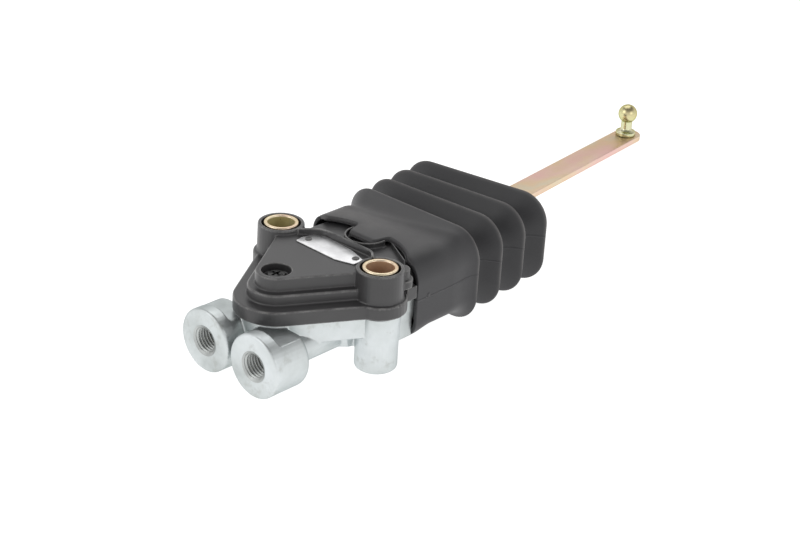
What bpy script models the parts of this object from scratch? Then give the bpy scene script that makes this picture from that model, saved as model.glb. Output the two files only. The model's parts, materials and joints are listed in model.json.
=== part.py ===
# Air suspension levelling valve with a swinging lever, a ball stud and a bellows.
# Metres, +Z up. +Y runs from the two threaded ports to the lever's ball, +X to the right.
# The origin is on the housing's flat belly, midway between the two mounting bolt axes.

from math import asin, cos, pi, radians, sin, sqrt, tan

import bmesh
import bpy
from mathutils import Matrix

# Clearances
GAP = 0.0003            # between two pieces that seat on each other
FACE_GAP = 0.0001       # between flat faces clamped together
RUN_GAP = 0.0001        # radial clearance of a turning or sliding fit

# Mounting bolts, posts and sleeves
BOLT_SPACING = 0.060
FOOT_Z = -0.009         # underside of the two mounting posts
POST_RADIUS = 0.0094
POST_BORE = 0.0059
SLEEVE_RADIUS = 0.0077
SLEEVE_BORE = 0.0059
BOSS_RADIUS = 0.01035
BOSS_BORE = 0.00875
BOSS_TOP = 0.038
SLEEVE_TOP = 0.0383

# Ports, M12 x 1.5
PORT_SPACING = 0.030
PORT_Z = 0.0055
PORT_RADIUS = 0.0143
PORT_FACE_Y = -0.0579
PORT_LENGTH = 0.0196
PORT_RING = 0.0061      # full round rim in front of the milled flat
PORT_FLAT_Z = 0.0162
PORT_SHOULDER = 0.0027
THREAD_RADIUS = 0.00605
THREAD_DEPTH = 0.0129
COUNTERSINK = 0.0069
SEAT_BORE = 0.0052
SEAT_BORE_DEPTH = 0.0050
CHAMBER_BORE = 0.0040
CHAMBER_END_Y = -0.010
GUIDE_BORE = 0.0028
TUBE_RADIUS = 0.0069

# Wedge-shaped outline shared by the housing, the gasket and the cover
NOSE_Y = -0.0314        # centre of the rounded front, and the cover screw's axis
SIDE_ANGLE = radians(31.4)
WEDGE_END_Y = 0.0014
NOSE_DECK = 0.0089
NOSE_STEP = 0.0122
NOSE_FLANGE = 0.0181
NOSE_HOUSING = 0.0156
NOSE_GASKET = 0.0148

# Heights of the housing and the cover
BODY_LOW = 0.0080
BODY_TOP = 0.0175
GASKET_THICKNESS = 0.0006
FLANGE_TOP = 0.0247
STEP_TOP = 0.0296
DECK_TOP = 0.0359
COVER_WALL = 0.0024
LOBE_RADIUS = 0.0122
EDGE_ROUND = 0.0007

# Rear box, its chamber and the spigot inside the bellows
BOX_HALF = 0.0320
BOX_LOW = -0.0008
BOX_FRONT_Y = 0.0032
REAR_FRONT_Y = -0.0020
BOX_END_Y = 0.0202
BOX_EDGE = 0.0006       # upright corners of the rear box and of the cover above it
BOX_CORNER = 0.0035
LUG_HALF = 0.0354
LUG_FRONT_Y = 0.0120
LUG_END_Y = 0.0184
LUG_TOP = 0.0252
SPIGOT_END_Y = 0.0340
SPIGOT_FIT = 0.0004     # between the spigot and the bellows' neck
ROOF_HALF = 0.0160
ROOF_FRONT_Y = 0.0050
ROOF_TOP = 0.0210
ROOM_HALF = 0.0200
ROOM_STEP_Z = 0.0095
ROOM_UPPER_HALF = 0.0140
ROOM_FRONT_Y = 0.0065
ROOM_LOW = 0.0026
ROOM_TOP = 0.0182
PIVOT_Y = 0.0150

# Cover details
SCREW_RECESS = 0.0064
SCREW_RECESS_DEPTH = 0.0040
SCREW_HEAD = 0.0043
SCREW_HEAD_HEIGHT = 0.0023
SCREW_SHANK = 0.0019
SCREW_DEPTH = 0.0080
RIM_Y = 0.0071
RIM_LEFT = -0.0074
RIM_RIGHT = 0.0159
RIM_LEFT_RADIUS = 0.0090
RIM_RIGHT_RADIUS = 0.0060
RIM_THICKNESS = 0.0011
RIM_TOP = 0.0392
STUB_RADIUS = 0.0036
STUB_X = 0.0332
STUB_Y = 0.0100
STUB_TOP = 0.0356
STUB_STEP_RADIUS = 0.0050
STUB_STEP_LOW = 0.0273
STUB_STEP_TOP = 0.0310
REAR_DECK_HALF = 0.0270
REAR_DECK_TOP = 0.0318
TONGUE_RIB_RADIUS = 0.0094
TONGUE_RIB_END_Y = 0.0262
TONGUE_RIB_THICKNESS = 0.0008
TONGUE_RIB_TOP = 0.0346

# Label plate and the two pins that hold it
LABEL_LEFT = -0.0146
LABEL_RIGHT = 0.0180
LABEL_BACK_Y = 0.0058
LABEL_FRONT_Y = -0.0070
LABEL_RISE = 0.0028     # the front edge climbs by this much from left to right
LABEL_THICKNESS = 0.0005
PIN_LEFT = (-0.0116, -0.0013)
PIN_RIGHT = (0.0155, 0.0001)
PIN_RADIUS = 0.0009
PIN_HEAD = 0.0018
PIN_HEAD_HEIGHT = 0.0006

# Lever, rocker and ball stud
REST_ANGLE = radians(6.0)   # the lever stands this far to the left of straight
LEVER_WIDTH = 0.0140
LEVER_THICKNESS = 0.0030
LEVER_LOW = 0.0130
BALL_REACH = 0.2397         # from the pivot to the ball's axis
LEVER_OVERHANG = 0.0020
BALL_RADIUS = 0.0050
BALL_Z = 0.0281
NECK_RADIUS = 0.0029
COLLAR_RADIUS = 0.0053
COLLAR_HEIGHT = 0.0025
TAIL_RADIUS = 0.0025
TAIL_HEAD = 0.0040
TAIL_HEAD_HEIGHT = 0.0012
HUB_RADIUS = 0.0080
ROCKER_LOW = 0.0036
ARM_TOP = 0.0082
NOSE_RADIUS = 0.0035
ARM_HALF = 0.0023           # the arms are slimmer than their noses
PAD_HALF = 0.0065
PAD_LENGTH = 0.0280
RIVET_RADIUS = 0.0020
RIVET_HEAD = 0.0033
RIVET_HEAD_HEIGHT = 0.0012
RIVET_FIRST = 0.0125
RIVET_PITCH = 0.0100
PIVOT_PIN_RADIUS = 0.0030
PIVOT_PIN_LOW = 0.0002
PIVOT_PIN_TOP = 0.0240
BUSH_RADIUS = 0.0044
CLIP_RADIUS = 0.0052
CLIP_THICKNESS = 0.0010
CLIP_GROOVE = 0.0024

# Valve pieces in line with each port
SEAT_FLANGE = 0.0050
SEAT_FLANGE_THICKNESS = 0.0018
SEAT_BODY = 0.0037
SEAT_LENGTH = 0.0070
SEAT_HOLE = 0.0018
O_RING_SECTION = 0.0005
TAPPET_RADIUS = 0.0026
TAPPET_COLLAR = 0.0036
TAPPET_COLLAR_THICKNESS = 0.0026
TAPPET_COLLAR_Y = -0.0196
TAPPET_TIP_RADIUS = 0.0014
TAPPET_TIP_LENGTH = 0.0120
SPRING_WIRE = 0.00035
SPRING_RADIUS = 0.0031
SPRING_TURNS = 6

# Bellows
BELLOWS_WALL = 0.0018
NECK_START_Y = 0.0205
NECK_STRAIGHT = 0.0280      # from the pivot to where the neck starts to flare
FOLD_COUNT = 4
FOLD_FIRST = 0.0446         # from the pivot to the first crest
FOLD_PITCH = 0.0166
FOLD_TURN = 1.3             # the last crest turns this much further than the lever
CREST_HALF = 0.0399
CREST_LOW = -0.0089
CREST_TOP = 0.0362
CREST_CORNER = 0.0140
FOLD_DEPTH = 0.0100
MOUTH_HALF = 0.0343
MOUTH_LOW = -0.0004
MOUTH_TOP = 0.0352
MOUTH_CORNER = 0.0112
TONGUE_X = -0.0013
TONGUE_Y = 0.0244           # centre of the tongue's round tip
TONGUE_RADIUS = 0.0080
CUT_INNER = 0.0088          # from the middle of the tongue to the deepest place of a cut-out
CUT_OUTER = 0.0280
CUT_Y = 0.0285
CUFF_HALF = 0.0093
CUFF_HEIGHT = 0.0076
CUFF_CORNER = 0.0028
CUFF_START = 0.1110
CUFF_LENGTH = 0.0090

SPIGOT_HALF = MOUTH_HALF - BELLOWS_WALL - SPIGOT_FIT
SPIGOT_LOW = MOUTH_LOW + BELLOWS_WALL + SPIGOT_FIT
SPIGOT_CORNER = MOUTH_CORNER - BELLOWS_WALL - SPIGOT_FIT
PORT_X = PORT_SPACING / 2
BOLT_X = BOLT_SPACING / 2
COVER_LOW = BODY_TOP + 2 * FACE_GAP + GASKET_THICKNESS
LEVER_TOP = LEVER_LOW + LEVER_THICKNESS
NOSE_ARM = PORT_X           # the rocker's noses stand in line with the tappets

for old in list(bpy.data.objects):
    bpy.data.objects.remove(old, do_unlink=True)


def material(name, colour, roughness, metallic):
    """One Principled material."""
    made = bpy.data.materials.new(name)
    made.use_nodes = True
    shader = made.node_tree.nodes["Principled BSDF"]
    shader.inputs["Base Color"].default_value = (*colour, 1.0)
    shader.inputs["Roughness"].default_value = roughness
    shader.inputs["Metallic"].default_value = metallic
    return made


def add_object(name, bm, finish=None):
    """Puts a bmesh into the scene as one named object, shaded smooth up to 30 degrees."""
    bmesh.ops.recalc_face_normals(bm, faces=bm.faces)
    mesh = bpy.data.meshes.new(name)
    bm.to_mesh(mesh)
    bm.free()
    mesh.shade_smooth()
    mesh.set_sharp_from_angle(angle=radians(30))
    made = bpy.data.objects.new(name, mesh)
    bpy.context.scene.collection.objects.link(made)
    if finish:
        mesh.materials.append(finish)
    return made


def helper(tool):
    """Marks an object as a construction tool that isn't part of the model."""
    tool.hide_render = True
    tool.display_type = "WIRE"
    return tool


def combine(target, tool, operation):
    """Unites a tool with a target, cuts it away or keeps what both share."""
    modifier = target.modifiers.new(operation.lower() + "_" + tool.name, "BOOLEAN")
    modifier.operation = operation
    modifier.object = helper(tool)
    modifier.solver = "EXACT"
    return target


def arc(centre, radius, start, end, steps):
    """Points on an arc from one angle to another."""
    return [
        (centre[0] + radius * cos(start + (end - start) * i / steps),
         centre[1] + radius * sin(start + (end - start) * i / steps))
        for i in range(steps + 1)
    ]


def circle(centre, radius, steps=32):
    """Points round a whole circle."""
    return arc(centre, radius, pi / steps, 2 * pi + pi / steps, steps)[:-1]


def wedge(radius, back_y, steps=20):
    """Rounded front of a radius about the screw axis, with two straight sides running back."""
    nose = arc((0, NOSE_Y), radius, pi + SIDE_ANGLE, 2 * pi - SIDE_ANGLE, steps)
    back_x = wedge_x(radius, back_y)
    return nose + [(back_x, back_y), (-back_x, back_y)]


def wedge_x(radius, y):
    """Half-width of the wedge's straight sides at a place along Y."""
    return (radius + (y - NOSE_Y) * sin(SIDE_ANGLE)) / cos(SIDE_ANGLE)


def rounded_box(x0, x1, y0, y1, corner, steps=4):
    """Rectangle with four rounded corners."""
    return (
        arc((x1 - corner, y0 + corner), corner, -pi / 2, 0, steps)
        + arc((x1 - corner, y1 - corner), corner, 0, pi / 2, steps)
        + arc((x0 + corner, y1 - corner), corner, pi / 2, pi, steps)
        + arc((x0 + corner, y0 + corner), corner, pi, 1.5 * pi, steps)
    )


def prism(name, outline, low, high, finish=None, edge=0.0):
    """Extrudes an outline upward. An edge width rounds the upper rim."""
    bm = bmesh.new()
    base = bm.faces.new([bm.verts.new((x, y, low)) for x, y in outline])
    grown = bmesh.ops.extrude_face_region(bm, geom=[base])["geom"]
    top = [g for g in grown if isinstance(g, bmesh.types.BMVert)]
    bmesh.ops.translate(bm, verts=top, vec=(0, 0, high - low))
    if edge:
        rim = [g for g in grown if isinstance(g, bmesh.types.BMEdge)]
        bmesh.ops.bevel(bm, geom=rim, offset=edge, segments=2, profile=0.5, affect="EDGES")
    return add_object(name, bm, finish)


def bar(name, section, start, end):
    """Extrudes a section drawn in x and z along Y."""
    made = prism(name, section, -end, -start)
    made.data.transform(Matrix.Rotation(pi / 2, 4, "X"))
    return made


def drafted(name, lower, upper, low, high):
    """Joins a lower outline to an upper one with as many points."""
    bm = bmesh.new()
    rings = [[bm.verts.new((x, y, z)) for x, y in outline]
             for outline, z in ((lower, low), (upper, high))]
    bm.faces.new(rings[0])
    bm.faces.new(rings[1])
    count = len(lower)
    for i in range(count):
        j = (i + 1) % count
        bm.faces.new((rings[0][i], rings[0][j], rings[1][j], rings[1][i]))
    bmesh.ops.triangulate(bm, faces=bm.faces)
    return add_object(name, bm)


def turned(name, profile, centre, finish=None, axis="Z", steps=32):
    """Spins a closed profile of (radius, height) points about an axis through a centre."""
    bm = bmesh.new()
    on_axis = 1e-7
    rings = []
    for radius, height in profile:
        if radius < on_axis:
            rings.append([bm.verts.new((0, 0, height))])
        else:
            rings.append([bm.verts.new((x, y, height)) for x, y in circle((0, 0), radius, steps)])
    closed = len(rings[0]) > 1
    pairs = list(zip(rings, rings[1:])) + ([(rings[-1], rings[0])] if closed else [])
    for first, second in pairs:
        for i in range(steps):
            j = (i + 1) % steps
            corners = [first[i % len(first)], first[j % len(first)],
                       second[j % len(second)], second[i % len(second)]]
            bm.faces.new(list(dict.fromkeys(corners)))
    if axis == "Y":
        bmesh.ops.rotate(bm, verts=bm.verts, matrix=Matrix.Rotation(-pi / 2, 3, "X"))
    bmesh.ops.translate(bm, verts=bm.verts, vec=centre)
    return add_object(name, bm, finish)


def rod(name, radius, start, end, centre, axis="Z", finish=None, steps=32):
    """Plain round bar from start to end along an axis; the centre gives the other two places."""
    return turned(name, [(0, start), (radius, start), (radius, end), (0, end)],
                  centre, finish, axis, steps)


def box(name, corner_low, corner_high):
    """Plain block between two corners."""
    (x0, y0, z0), (x1, y1, z1) = corner_low, corner_high
    return prism(name, [(x0, y0), (x1, y0), (x1, y1), (x0, y1)], z0, z1)


def together(name, parts):
    """Puts several separate tools into one object, so that one cut takes them all."""
    bm = bmesh.new()
    for part in parts:
        bm.from_mesh(part.data)
        bpy.data.objects.remove(part, do_unlink=True)
    return add_object(name, bm)


def turn_to_lever(part):
    """Turns a piece drawn straight ahead of the pivot to the lever's resting angle."""
    part.location = (0, PIVOT_Y, 0)
    part.rotation_euler = (0, 0, REST_ANGLE)
    return part


# Housing
def port_boss(side):
    """Round port with a full rim, a milled flat behind it and a rounded rear shoulder."""
    end = PORT_LENGTH
    shoulder = arc((PORT_RADIUS - PORT_SHOULDER, end - PORT_SHOULDER), PORT_SHOULDER, 0, pi / 2, 5)
    profile = [(0, 0), (PORT_RADIUS - EDGE_ROUND, 0), (PORT_RADIUS, EDGE_ROUND)] + shoulder + [(0, end)]
    boss = turned("port_boss", profile, (side * PORT_X, PORT_FACE_Y, PORT_Z), axis="Y", steps=48)
    flat = box("port_flat",
               (side * PORT_X - 2 * PORT_RADIUS, PORT_FACE_Y + PORT_RING, PORT_FLAT_Z),
               (side * PORT_X + 2 * PORT_RADIUS, PORT_FACE_Y + 2 * PORT_LENGTH, PORT_Z + 2 * PORT_RADIUS))
    return combine(boss, flat, "DIFFERENCE")


def port_bore(side):
    """Countersink, thread, seat bore, spring chamber and tappet guide, in one line."""
    mouth = COUNTERSINK - THREAD_RADIUS
    thread_end = THREAD_DEPTH
    seat_end = thread_end + SEAT_BORE_DEPTH
    chamber_end = CHAMBER_END_Y - PORT_FACE_Y
    room = ROOM_FRONT_Y - PORT_FACE_Y + GAP
    profile = [
        (0, -GAP), (COUNTERSINK + GAP, -GAP), (THREAD_RADIUS, mouth),
        (THREAD_RADIUS, thread_end), (SEAT_BORE, thread_end),
        (SEAT_BORE, seat_end), (CHAMBER_BORE, seat_end),
        (CHAMBER_BORE, chamber_end), (GUIDE_BORE, chamber_end), (GUIDE_BORE, room), (0, room),
    ]
    return turned("port_bore", profile, (side * PORT_X, PORT_FACE_Y, PORT_Z), axis="Y")


def mounting_post(side):
    """Round post that stands on the bracket, with a rounded lower edge."""
    edge = 2 * EDGE_ROUND
    profile = [(0, FOOT_Z), (POST_RADIUS - edge, FOOT_Z)]
    profile += arc((POST_RADIUS - edge, FOOT_Z + edge), edge, -pi / 2, 0, 3)[1:]
    profile += [(POST_RADIUS, BODY_TOP - FACE_GAP), (0, BODY_TOP - FACE_GAP)]
    return turned("post", profile, (side * BOLT_X, 0, 0))


def post_web(side):
    """Drafted wall that ties a post to the body."""
    corner_y = -0.0175
    foot_y = -0.0095
    upper = [(0.008, -0.030), (wedge_x(NOSE_HOUSING, corner_y), corner_y),
             (BOLT_X - 0.004, 0.001), (0.008, 0.001)]
    lower = [(0.008, -0.024), (0.0225, foot_y), (BOLT_X - 0.004, 0.001), (0.008, 0.001)]
    if side < 0:
        upper = [(-x, y) for x, y in reversed(upper)]
        lower = [(-x, y) for x, y in reversed(lower)]
    return drafted("post_web", lower, upper, FACE_GAP, BODY_TOP - FACE_GAP)


def housing():
    """Die-cast body: two ports, two posts, a flat top and a rear box open towards the lever."""
    silver = material("zinc_plated_casting", (0.66, 0.69, 0.70), 0.35, 0.9)
    body = prism("valve_housing", wedge(NOSE_HOUSING, WEDGE_END_Y), BODY_LOW, BODY_TOP, silver)
    combine(body, box("belly", (-PORT_X, PORT_FACE_Y + PORT_RING + PORT_SHOULDER, 0),
                      (PORT_X, PIVOT_Y, BODY_LOW + GAP)), "UNION")
    for side in (-1, 1):
        combine(body, port_boss(side), "UNION")
        combine(body, rod("tube", TUBE_RADIUS, PORT_FACE_Y + PORT_RING, ROOM_FRONT_Y - GAP,
                          (side * PORT_X, 0, PORT_Z), "Y", steps=40), "UNION")
        combine(body, post_web(side), "UNION")
        combine(body, mounting_post(side), "UNION")
    combine(body, prism("rear_plate", rounded_box(-BOX_HALF + GAP, BOX_HALF - GAP, REAR_FRONT_Y, PIVOT_Y,
                                                 BOX_EDGE, 2), BODY_LOW - GAP, BODY_TOP - 4 * FACE_GAP), "UNION")
    combine(body, prism("rear_box", rounded_box(-BOX_HALF, BOX_HALF, BOX_FRONT_Y, BOX_END_Y, BOX_EDGE, 2),
                        BOX_LOW, BODY_TOP - 2 * FACE_GAP), "UNION")
    corner = SPIGOT_CORNER
    section = (arc((SPIGOT_HALF - corner, SPIGOT_LOW + corner), corner, -pi / 2, 0, 6)
               + [(SPIGOT_HALF, BODY_TOP - 3 * FACE_GAP), (-SPIGOT_HALF, BODY_TOP - 3 * FACE_GAP)]
               + arc((-SPIGOT_HALF + corner, SPIGOT_LOW + corner), corner, pi, 1.5 * pi, 6))
    combine(body, bar("spigot", section, PIVOT_Y, SPIGOT_END_Y), "UNION")
    combine(body, prism("roof", rounded_box(-ROOF_HALF, ROOF_HALF, ROOF_FRONT_Y, SPIGOT_END_Y - GAP,
                                           BOX_CORNER), BODY_LOW, ROOF_TOP), "UNION")
    combine(body, box("room", (-ROOM_HALF, ROOM_FRONT_Y, ROOM_LOW),
                      (ROOM_HALF, SPIGOT_END_Y + BOX_CORNER, ROOM_STEP_Z)), "DIFFERENCE")
    combine(body, box("upper_room", (-ROOM_UPPER_HALF, ROOM_FRONT_Y + FACE_GAP, ROOM_LOW + GAP),
                      (ROOM_UPPER_HALF, SPIGOT_END_Y + BOX_CORNER + GAP, ROOM_TOP)), "DIFFERENCE")
    bush_seat = BUSH_RADIUS + FACE_GAP
    bores = [
        rod("lower_bush_seat", bush_seat, PIVOT_PIN_LOW - GAP, ROOM_LOW + GAP, (0, PIVOT_Y, 0)),
        rod("upper_bush_seat", bush_seat, ROOM_TOP - GAP, ROOF_TOP + GAP, (0, PIVOT_Y, 0)),
        rod("screw_hole", SCREW_SHANK + FACE_GAP, BODY_TOP - SCREW_DEPTH - GAP, BODY_TOP + GAP,
            (0, NOSE_Y, 0)),
    ]
    for side in (-1, 1):
        bores.append(port_bore(side))
        bores.append(rod("post_bore", POST_BORE, FOOT_Z - GAP, BODY_TOP + GAP, (side * BOLT_X, 0, 0)))
    return combine(body, together("bores", bores), "DIFFERENCE")


# Cover and gasket
def mounting_boss(side):
    """Round boss of the cover, slightly tapered, with a rounded rim."""
    foot = COVER_LOW + 2 * GAP
    taper = 0.0003
    rim = arc((BOSS_RADIUS - EDGE_ROUND, BOSS_TOP - EDGE_ROUND), EDGE_ROUND, 0, pi / 2, 3)
    profile = [(0, foot), (BOSS_RADIUS + taper, foot)] + rim + [(0, BOSS_TOP)]
    return turned("boss", profile, (side * BOLT_X, 0, 0), steps=40)


def ribbon(name, line, half, low, high, edge=0.0):
    """Upright wall of even thickness along a line of points."""
    left, right = [], []
    for i, (x, y) in enumerate(line):
        (x0, y0), (x1, y1) = line[max(i - 1, 0)], line[min(i + 1, len(line) - 1)]
        length = sqrt((x1 - x0) ** 2 + (y1 - y0) ** 2)
        across_x, across_y = (y0 - y1) / length * half, (x1 - x0) / length * half
        left.append((x + across_x, y + across_y))
        right.append((x - across_x, y - across_y))
    return prism(name, right + left[::-1], low, high, edge=edge)


def cross_rim():
    """Thin wall behind the label, from one boss to the other with a bend at each end."""
    bend = pi / 4
    left = arc((RIM_LEFT, RIM_Y - RIM_LEFT_RADIUS), RIM_LEFT_RADIUS, pi / 2 + bend, pi / 2, 6)
    right = arc((RIM_RIGHT, RIM_Y - RIM_RIGHT_RADIUS), RIM_RIGHT_RADIUS, pi / 2, pi / 2 - bend, 6)
    reach = BOSS_RADIUS - BOSS_BORE + 2 * STUB_RADIUS * 0.8
    line = [(left[0][0] - reach * sin(bend), left[0][1] - reach * cos(bend))] + left + right
    line.append((right[-1][0] + reach * sin(bend) / 3, right[-1][1] - reach * cos(bend) / 3))
    return ribbon("rim", line, RIM_THICKNESS / 2, STEP_TOP - COVER_WALL / 2, RIM_TOP, RIM_THICKNESS / 4)


def tongue_rib():
    """Thin rib of the cover round the bellows' tongue."""
    tip = arc((TONGUE_X, TONGUE_Y), TONGUE_RIB_RADIUS, pi, 2 * pi, 14)
    line = [(tip[0][0], TONGUE_RIB_END_Y)] + tip + [(tip[-1][0], TONGUE_RIB_END_Y)]
    return ribbon("tongue_rib", line, TONGUE_RIB_THICKNESS / 2, STEP_TOP - COVER_WALL / 2, TONGUE_RIB_TOP)


def cover():
    """Moulded cover: three stepped layers, two bolt bosses, a screw recess and a cross rim."""
    black = material("moulded_black_plastic", (0.030, 0.030, 0.032), 0.42, 0.0)
    edge = EDGE_ROUND
    body = prism("top_cover", wedge(NOSE_FLANGE, WEDGE_END_Y), COVER_LOW, FLANGE_TOP, black, edge)
    start = COVER_LOW + GAP
    for side in (-1, 1):
        combine(body, prism("lobe", circle((side * BOLT_X, 0), LOBE_RADIUS, 36), start, FLANGE_TOP - FACE_GAP,
                            edge=edge), "UNION")
    combine(body, prism("rear_flange", rounded_box(-BOX_HALF, BOX_HALF, REAR_FRONT_Y, LUG_END_Y, BOX_EDGE, 2),
                        start + GAP, FLANGE_TOP - 2 * FACE_GAP, edge=edge / 2), "UNION")
    combine(body, prism("step", wedge(NOSE_STEP, WEDGE_END_Y), start + 2 * GAP, STEP_TOP, edge=edge), "UNION")
    inner_half = SPIGOT_HALF - 3 * EDGE_ROUND
    combine(body, prism("rear_deck", rounded_box(-inner_half, inner_half, REAR_FRONT_Y, SPIGOT_END_Y, BOX_CORNER),
                        start + 3 * GAP, STEP_TOP - FACE_GAP, edge=edge), "UNION")
    combine(body, prism("rear_deck_upper", rounded_box(-REAR_DECK_HALF, REAR_DECK_HALF, RIM_Y - RIM_THICKNESS,
                                                       SPIGOT_END_Y - EDGE_ROUND, BOX_CORNER),
                        start + 4 * GAP, REAR_DECK_TOP, edge=edge), "UNION")
    combine(body, prism("deck", wedge(NOSE_DECK, RIM_Y), start + GAP, DECK_TOP, edge=edge), "UNION")
    combine(body, cross_rim(), "UNION")
    for side in (-1, 1):
        combine(body, mounting_boss(side), "UNION")
        low_x, high_x = sorted((side * (BOX_HALF - 2 * EDGE_ROUND), side * LUG_HALF))
        combine(body, box("lug", (low_x, LUG_FRONT_Y, start + 2 * GAP), (high_x, LUG_END_Y - GAP, LUG_TOP)), "UNION")
        combine(body, rod("stub", STUB_RADIUS, STUB_STEP_LOW + GAP, STUB_TOP, (side * STUB_X, STUB_Y, 0), steps=20),
                "UNION")
        combine(body, rod("stub_step", STUB_STEP_RADIUS, STUB_STEP_LOW, STUB_STEP_TOP,
                          (side * STUB_X, STUB_Y, 0), steps=24), "UNION")
    combine(body, tongue_rib(), "UNION")
    for x, y in (PIN_LEFT, PIN_RIGHT):
        combine(body, label_pin(x, y), "UNION")
    cavity_front = NOSE_Y + NOSE_DECK
    inner = [(wedge_x(NOSE_DECK - COVER_WALL, cavity_front), cavity_front),
             (BOLT_X - BOSS_RADIUS - COVER_WALL, -BOSS_RADIUS), (BOLT_X - BOSS_RADIUS - COVER_WALL, RIM_Y),
             (-BOLT_X + BOSS_RADIUS + COVER_WALL, RIM_Y), (-BOLT_X + BOSS_RADIUS + COVER_WALL, -BOSS_RADIUS),
             (-wedge_x(NOSE_DECK - COVER_WALL, cavity_front), cavity_front)]
    combine(body, prism("deck_cavity", inner, COVER_LOW - GAP, DECK_TOP - COVER_WALL), "DIFFERENCE")
    side_room = ROOF_HALF + GAP
    combine(body, prism("roof_cavity", rounded_box(-side_room, side_room, RIM_Y - RIM_THICKNESS,
                                                   SPIGOT_END_Y + BOX_CORNER, BOX_CORNER - GAP),
                        COVER_LOW - 2 * GAP, STEP_TOP - COVER_WALL), "DIFFERENCE")
    combine(body, box("roof_relief", (-side_room, ROOF_FRONT_Y - GAP, COVER_LOW - 3 * GAP),
                      (side_room, PIVOT_Y, ROOF_TOP + GAP)), "DIFFERENCE")
    bores = [rod("boss_bore", BOSS_BORE, COVER_LOW - GAP, BOSS_TOP + GAP, (side * BOLT_X, 0, 0), steps=40)
             for side in (-1, 1)]
    recess_low = DECK_TOP - SCREW_RECESS_DEPTH
    passage = SCREW_SHANK + GAP
    bores.append(turned("screw_recess", [(0, COVER_LOW - GAP), (passage, COVER_LOW - GAP), (passage, recess_low),
                                         (SCREW_RECESS, recess_low), (SCREW_RECESS, DECK_TOP + GAP),
                                         (0, DECK_TOP + GAP)], (0, NOSE_Y, 0), steps=36))
    return combine(body, together("bores", bores), "DIFFERENCE")


def label_pin(x, y):
    """Moulded pin whose head is melted over the label plate."""
    seat = DECK_TOP + 2 * FACE_GAP + LABEL_THICKNESS
    profile = [(0, DECK_TOP - COVER_WALL / 2), (PIN_RADIUS, DECK_TOP - COVER_WALL / 2), (PIN_RADIUS, seat),
               (PIN_HEAD, seat), (0.8 * PIN_HEAD, seat + 0.7 * PIN_HEAD_HEIGHT), (0, seat + PIN_HEAD_HEIGHT)]
    return turned("label_pin", profile, (x, y, 0), steps=16)


def gasket():
    """Flat sheet between the housing and the cover, open over the housing's raised roof."""
    finish = material("gasket_sheet", (0.05, 0.05, 0.05), 0.8, 0.0)
    low = BODY_TOP + FACE_GAP
    high = low + GASKET_THICKNESS
    sheet = prism("cover_gasket", wedge(NOSE_GASKET, WEDGE_END_Y), low - GAP, high + GAP, finish)
    for side in (-1, 1):
        combine(sheet, prism("gasket_lobe", circle((side * BOLT_X, 0), POST_RADIUS, 32), low - 2 * GAP,
                             high + 2 * GAP), "UNION")
    inset = BOX_CORNER
    combine(sheet, prism("gasket_rear", rounded_box(-BOX_HALF + inset, BOX_HALF - inset, REAR_FRONT_Y,
                                                    SPIGOT_END_Y - inset, inset), low - 3 * GAP, high + 3 * GAP),
            "UNION")
    combine(sheet, box("gasket_slab", (-BOLT_SPACING, NOSE_Y * 2, low), (BOLT_SPACING, SPIGOT_END_Y, high)),
            "INTERSECT")
    opening = ROOF_HALF + GAP
    combine(sheet, box("gasket_opening", (-opening, ROOF_FRONT_Y - GAP, low - GAP),
                       (opening, SPIGOT_END_Y, high + GAP)), "DIFFERENCE")
    for side in (-1, 1):
        combine(sheet, rod("gasket_hole", SLEEVE_RADIUS + GAP, low - GAP, high + GAP, (side * BOLT_X, 0, 0)),
                "DIFFERENCE")
    combine(sheet, rod("gasket_screw_hole", SCREW_SHANK + GAP, low - GAP, high + GAP, (0, NOSE_Y, 0), steps=20),
            "DIFFERENCE")
    return sheet


def cover_screw():
    """Pan-head screw with a cross recess, down through the cover into the housing."""
    steel = material("black_steel_screw", (0.10, 0.10, 0.10), 0.4, 0.8)
    seat = DECK_TOP - SCREW_RECESS_DEPTH + FACE_GAP
    end = BODY_TOP - SCREW_DEPTH
    edge = EDGE_ROUND
    profile = [(0, end), (SCREW_SHANK - edge, end), (SCREW_SHANK, end + edge), (SCREW_SHANK, seat),
               (SCREW_HEAD, seat), (SCREW_HEAD, seat + SCREW_HEAD_HEIGHT / 2),
               (SCREW_HEAD - edge, seat + SCREW_HEAD_HEIGHT - edge / 2), (0, seat + SCREW_HEAD_HEIGHT)]
    screw = turned("cover_screw", profile, (0, NOSE_Y, 0), steel, steps=28)
    slot = 0.0006
    reach = 0.0024
    top = seat + SCREW_HEAD_HEIGHT
    cross = box("cross_slot", (-reach, NOSE_Y - slot, top - 0.0013), (reach, NOSE_Y + slot, top + GAP))
    combine(cross, box("cross_slot_2", (-slot, NOSE_Y - reach, top - 0.0012), (slot, NOSE_Y + reach, top + 2 * GAP)),
            "UNION")
    return combine(screw, cross, "DIFFERENCE")


def sleeves():
    """Steel sleeves in the cover's bosses, which carry the mounting bolts' clamping force."""
    zinc = material("yellow_zinc_sleeve", (0.72, 0.62, 0.36), 0.22, 1.0)
    low = BODY_TOP + FACE_GAP
    edge = EDGE_ROUND / 2
    for side, name in ((-1, "sleeve_left"), (1, "sleeve_right")):
        profile = [(SLEEVE_BORE, low), (SLEEVE_RADIUS, low), (SLEEVE_RADIUS, SLEEVE_TOP - edge),
                   (SLEEVE_RADIUS - edge, SLEEVE_TOP), (SLEEVE_BORE + edge, SLEEVE_TOP),
                   (SLEEVE_BORE, SLEEVE_TOP - edge)]
        turned(name, profile, (side * BOLT_X, 0, 0), zinc, steps=40)


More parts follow.
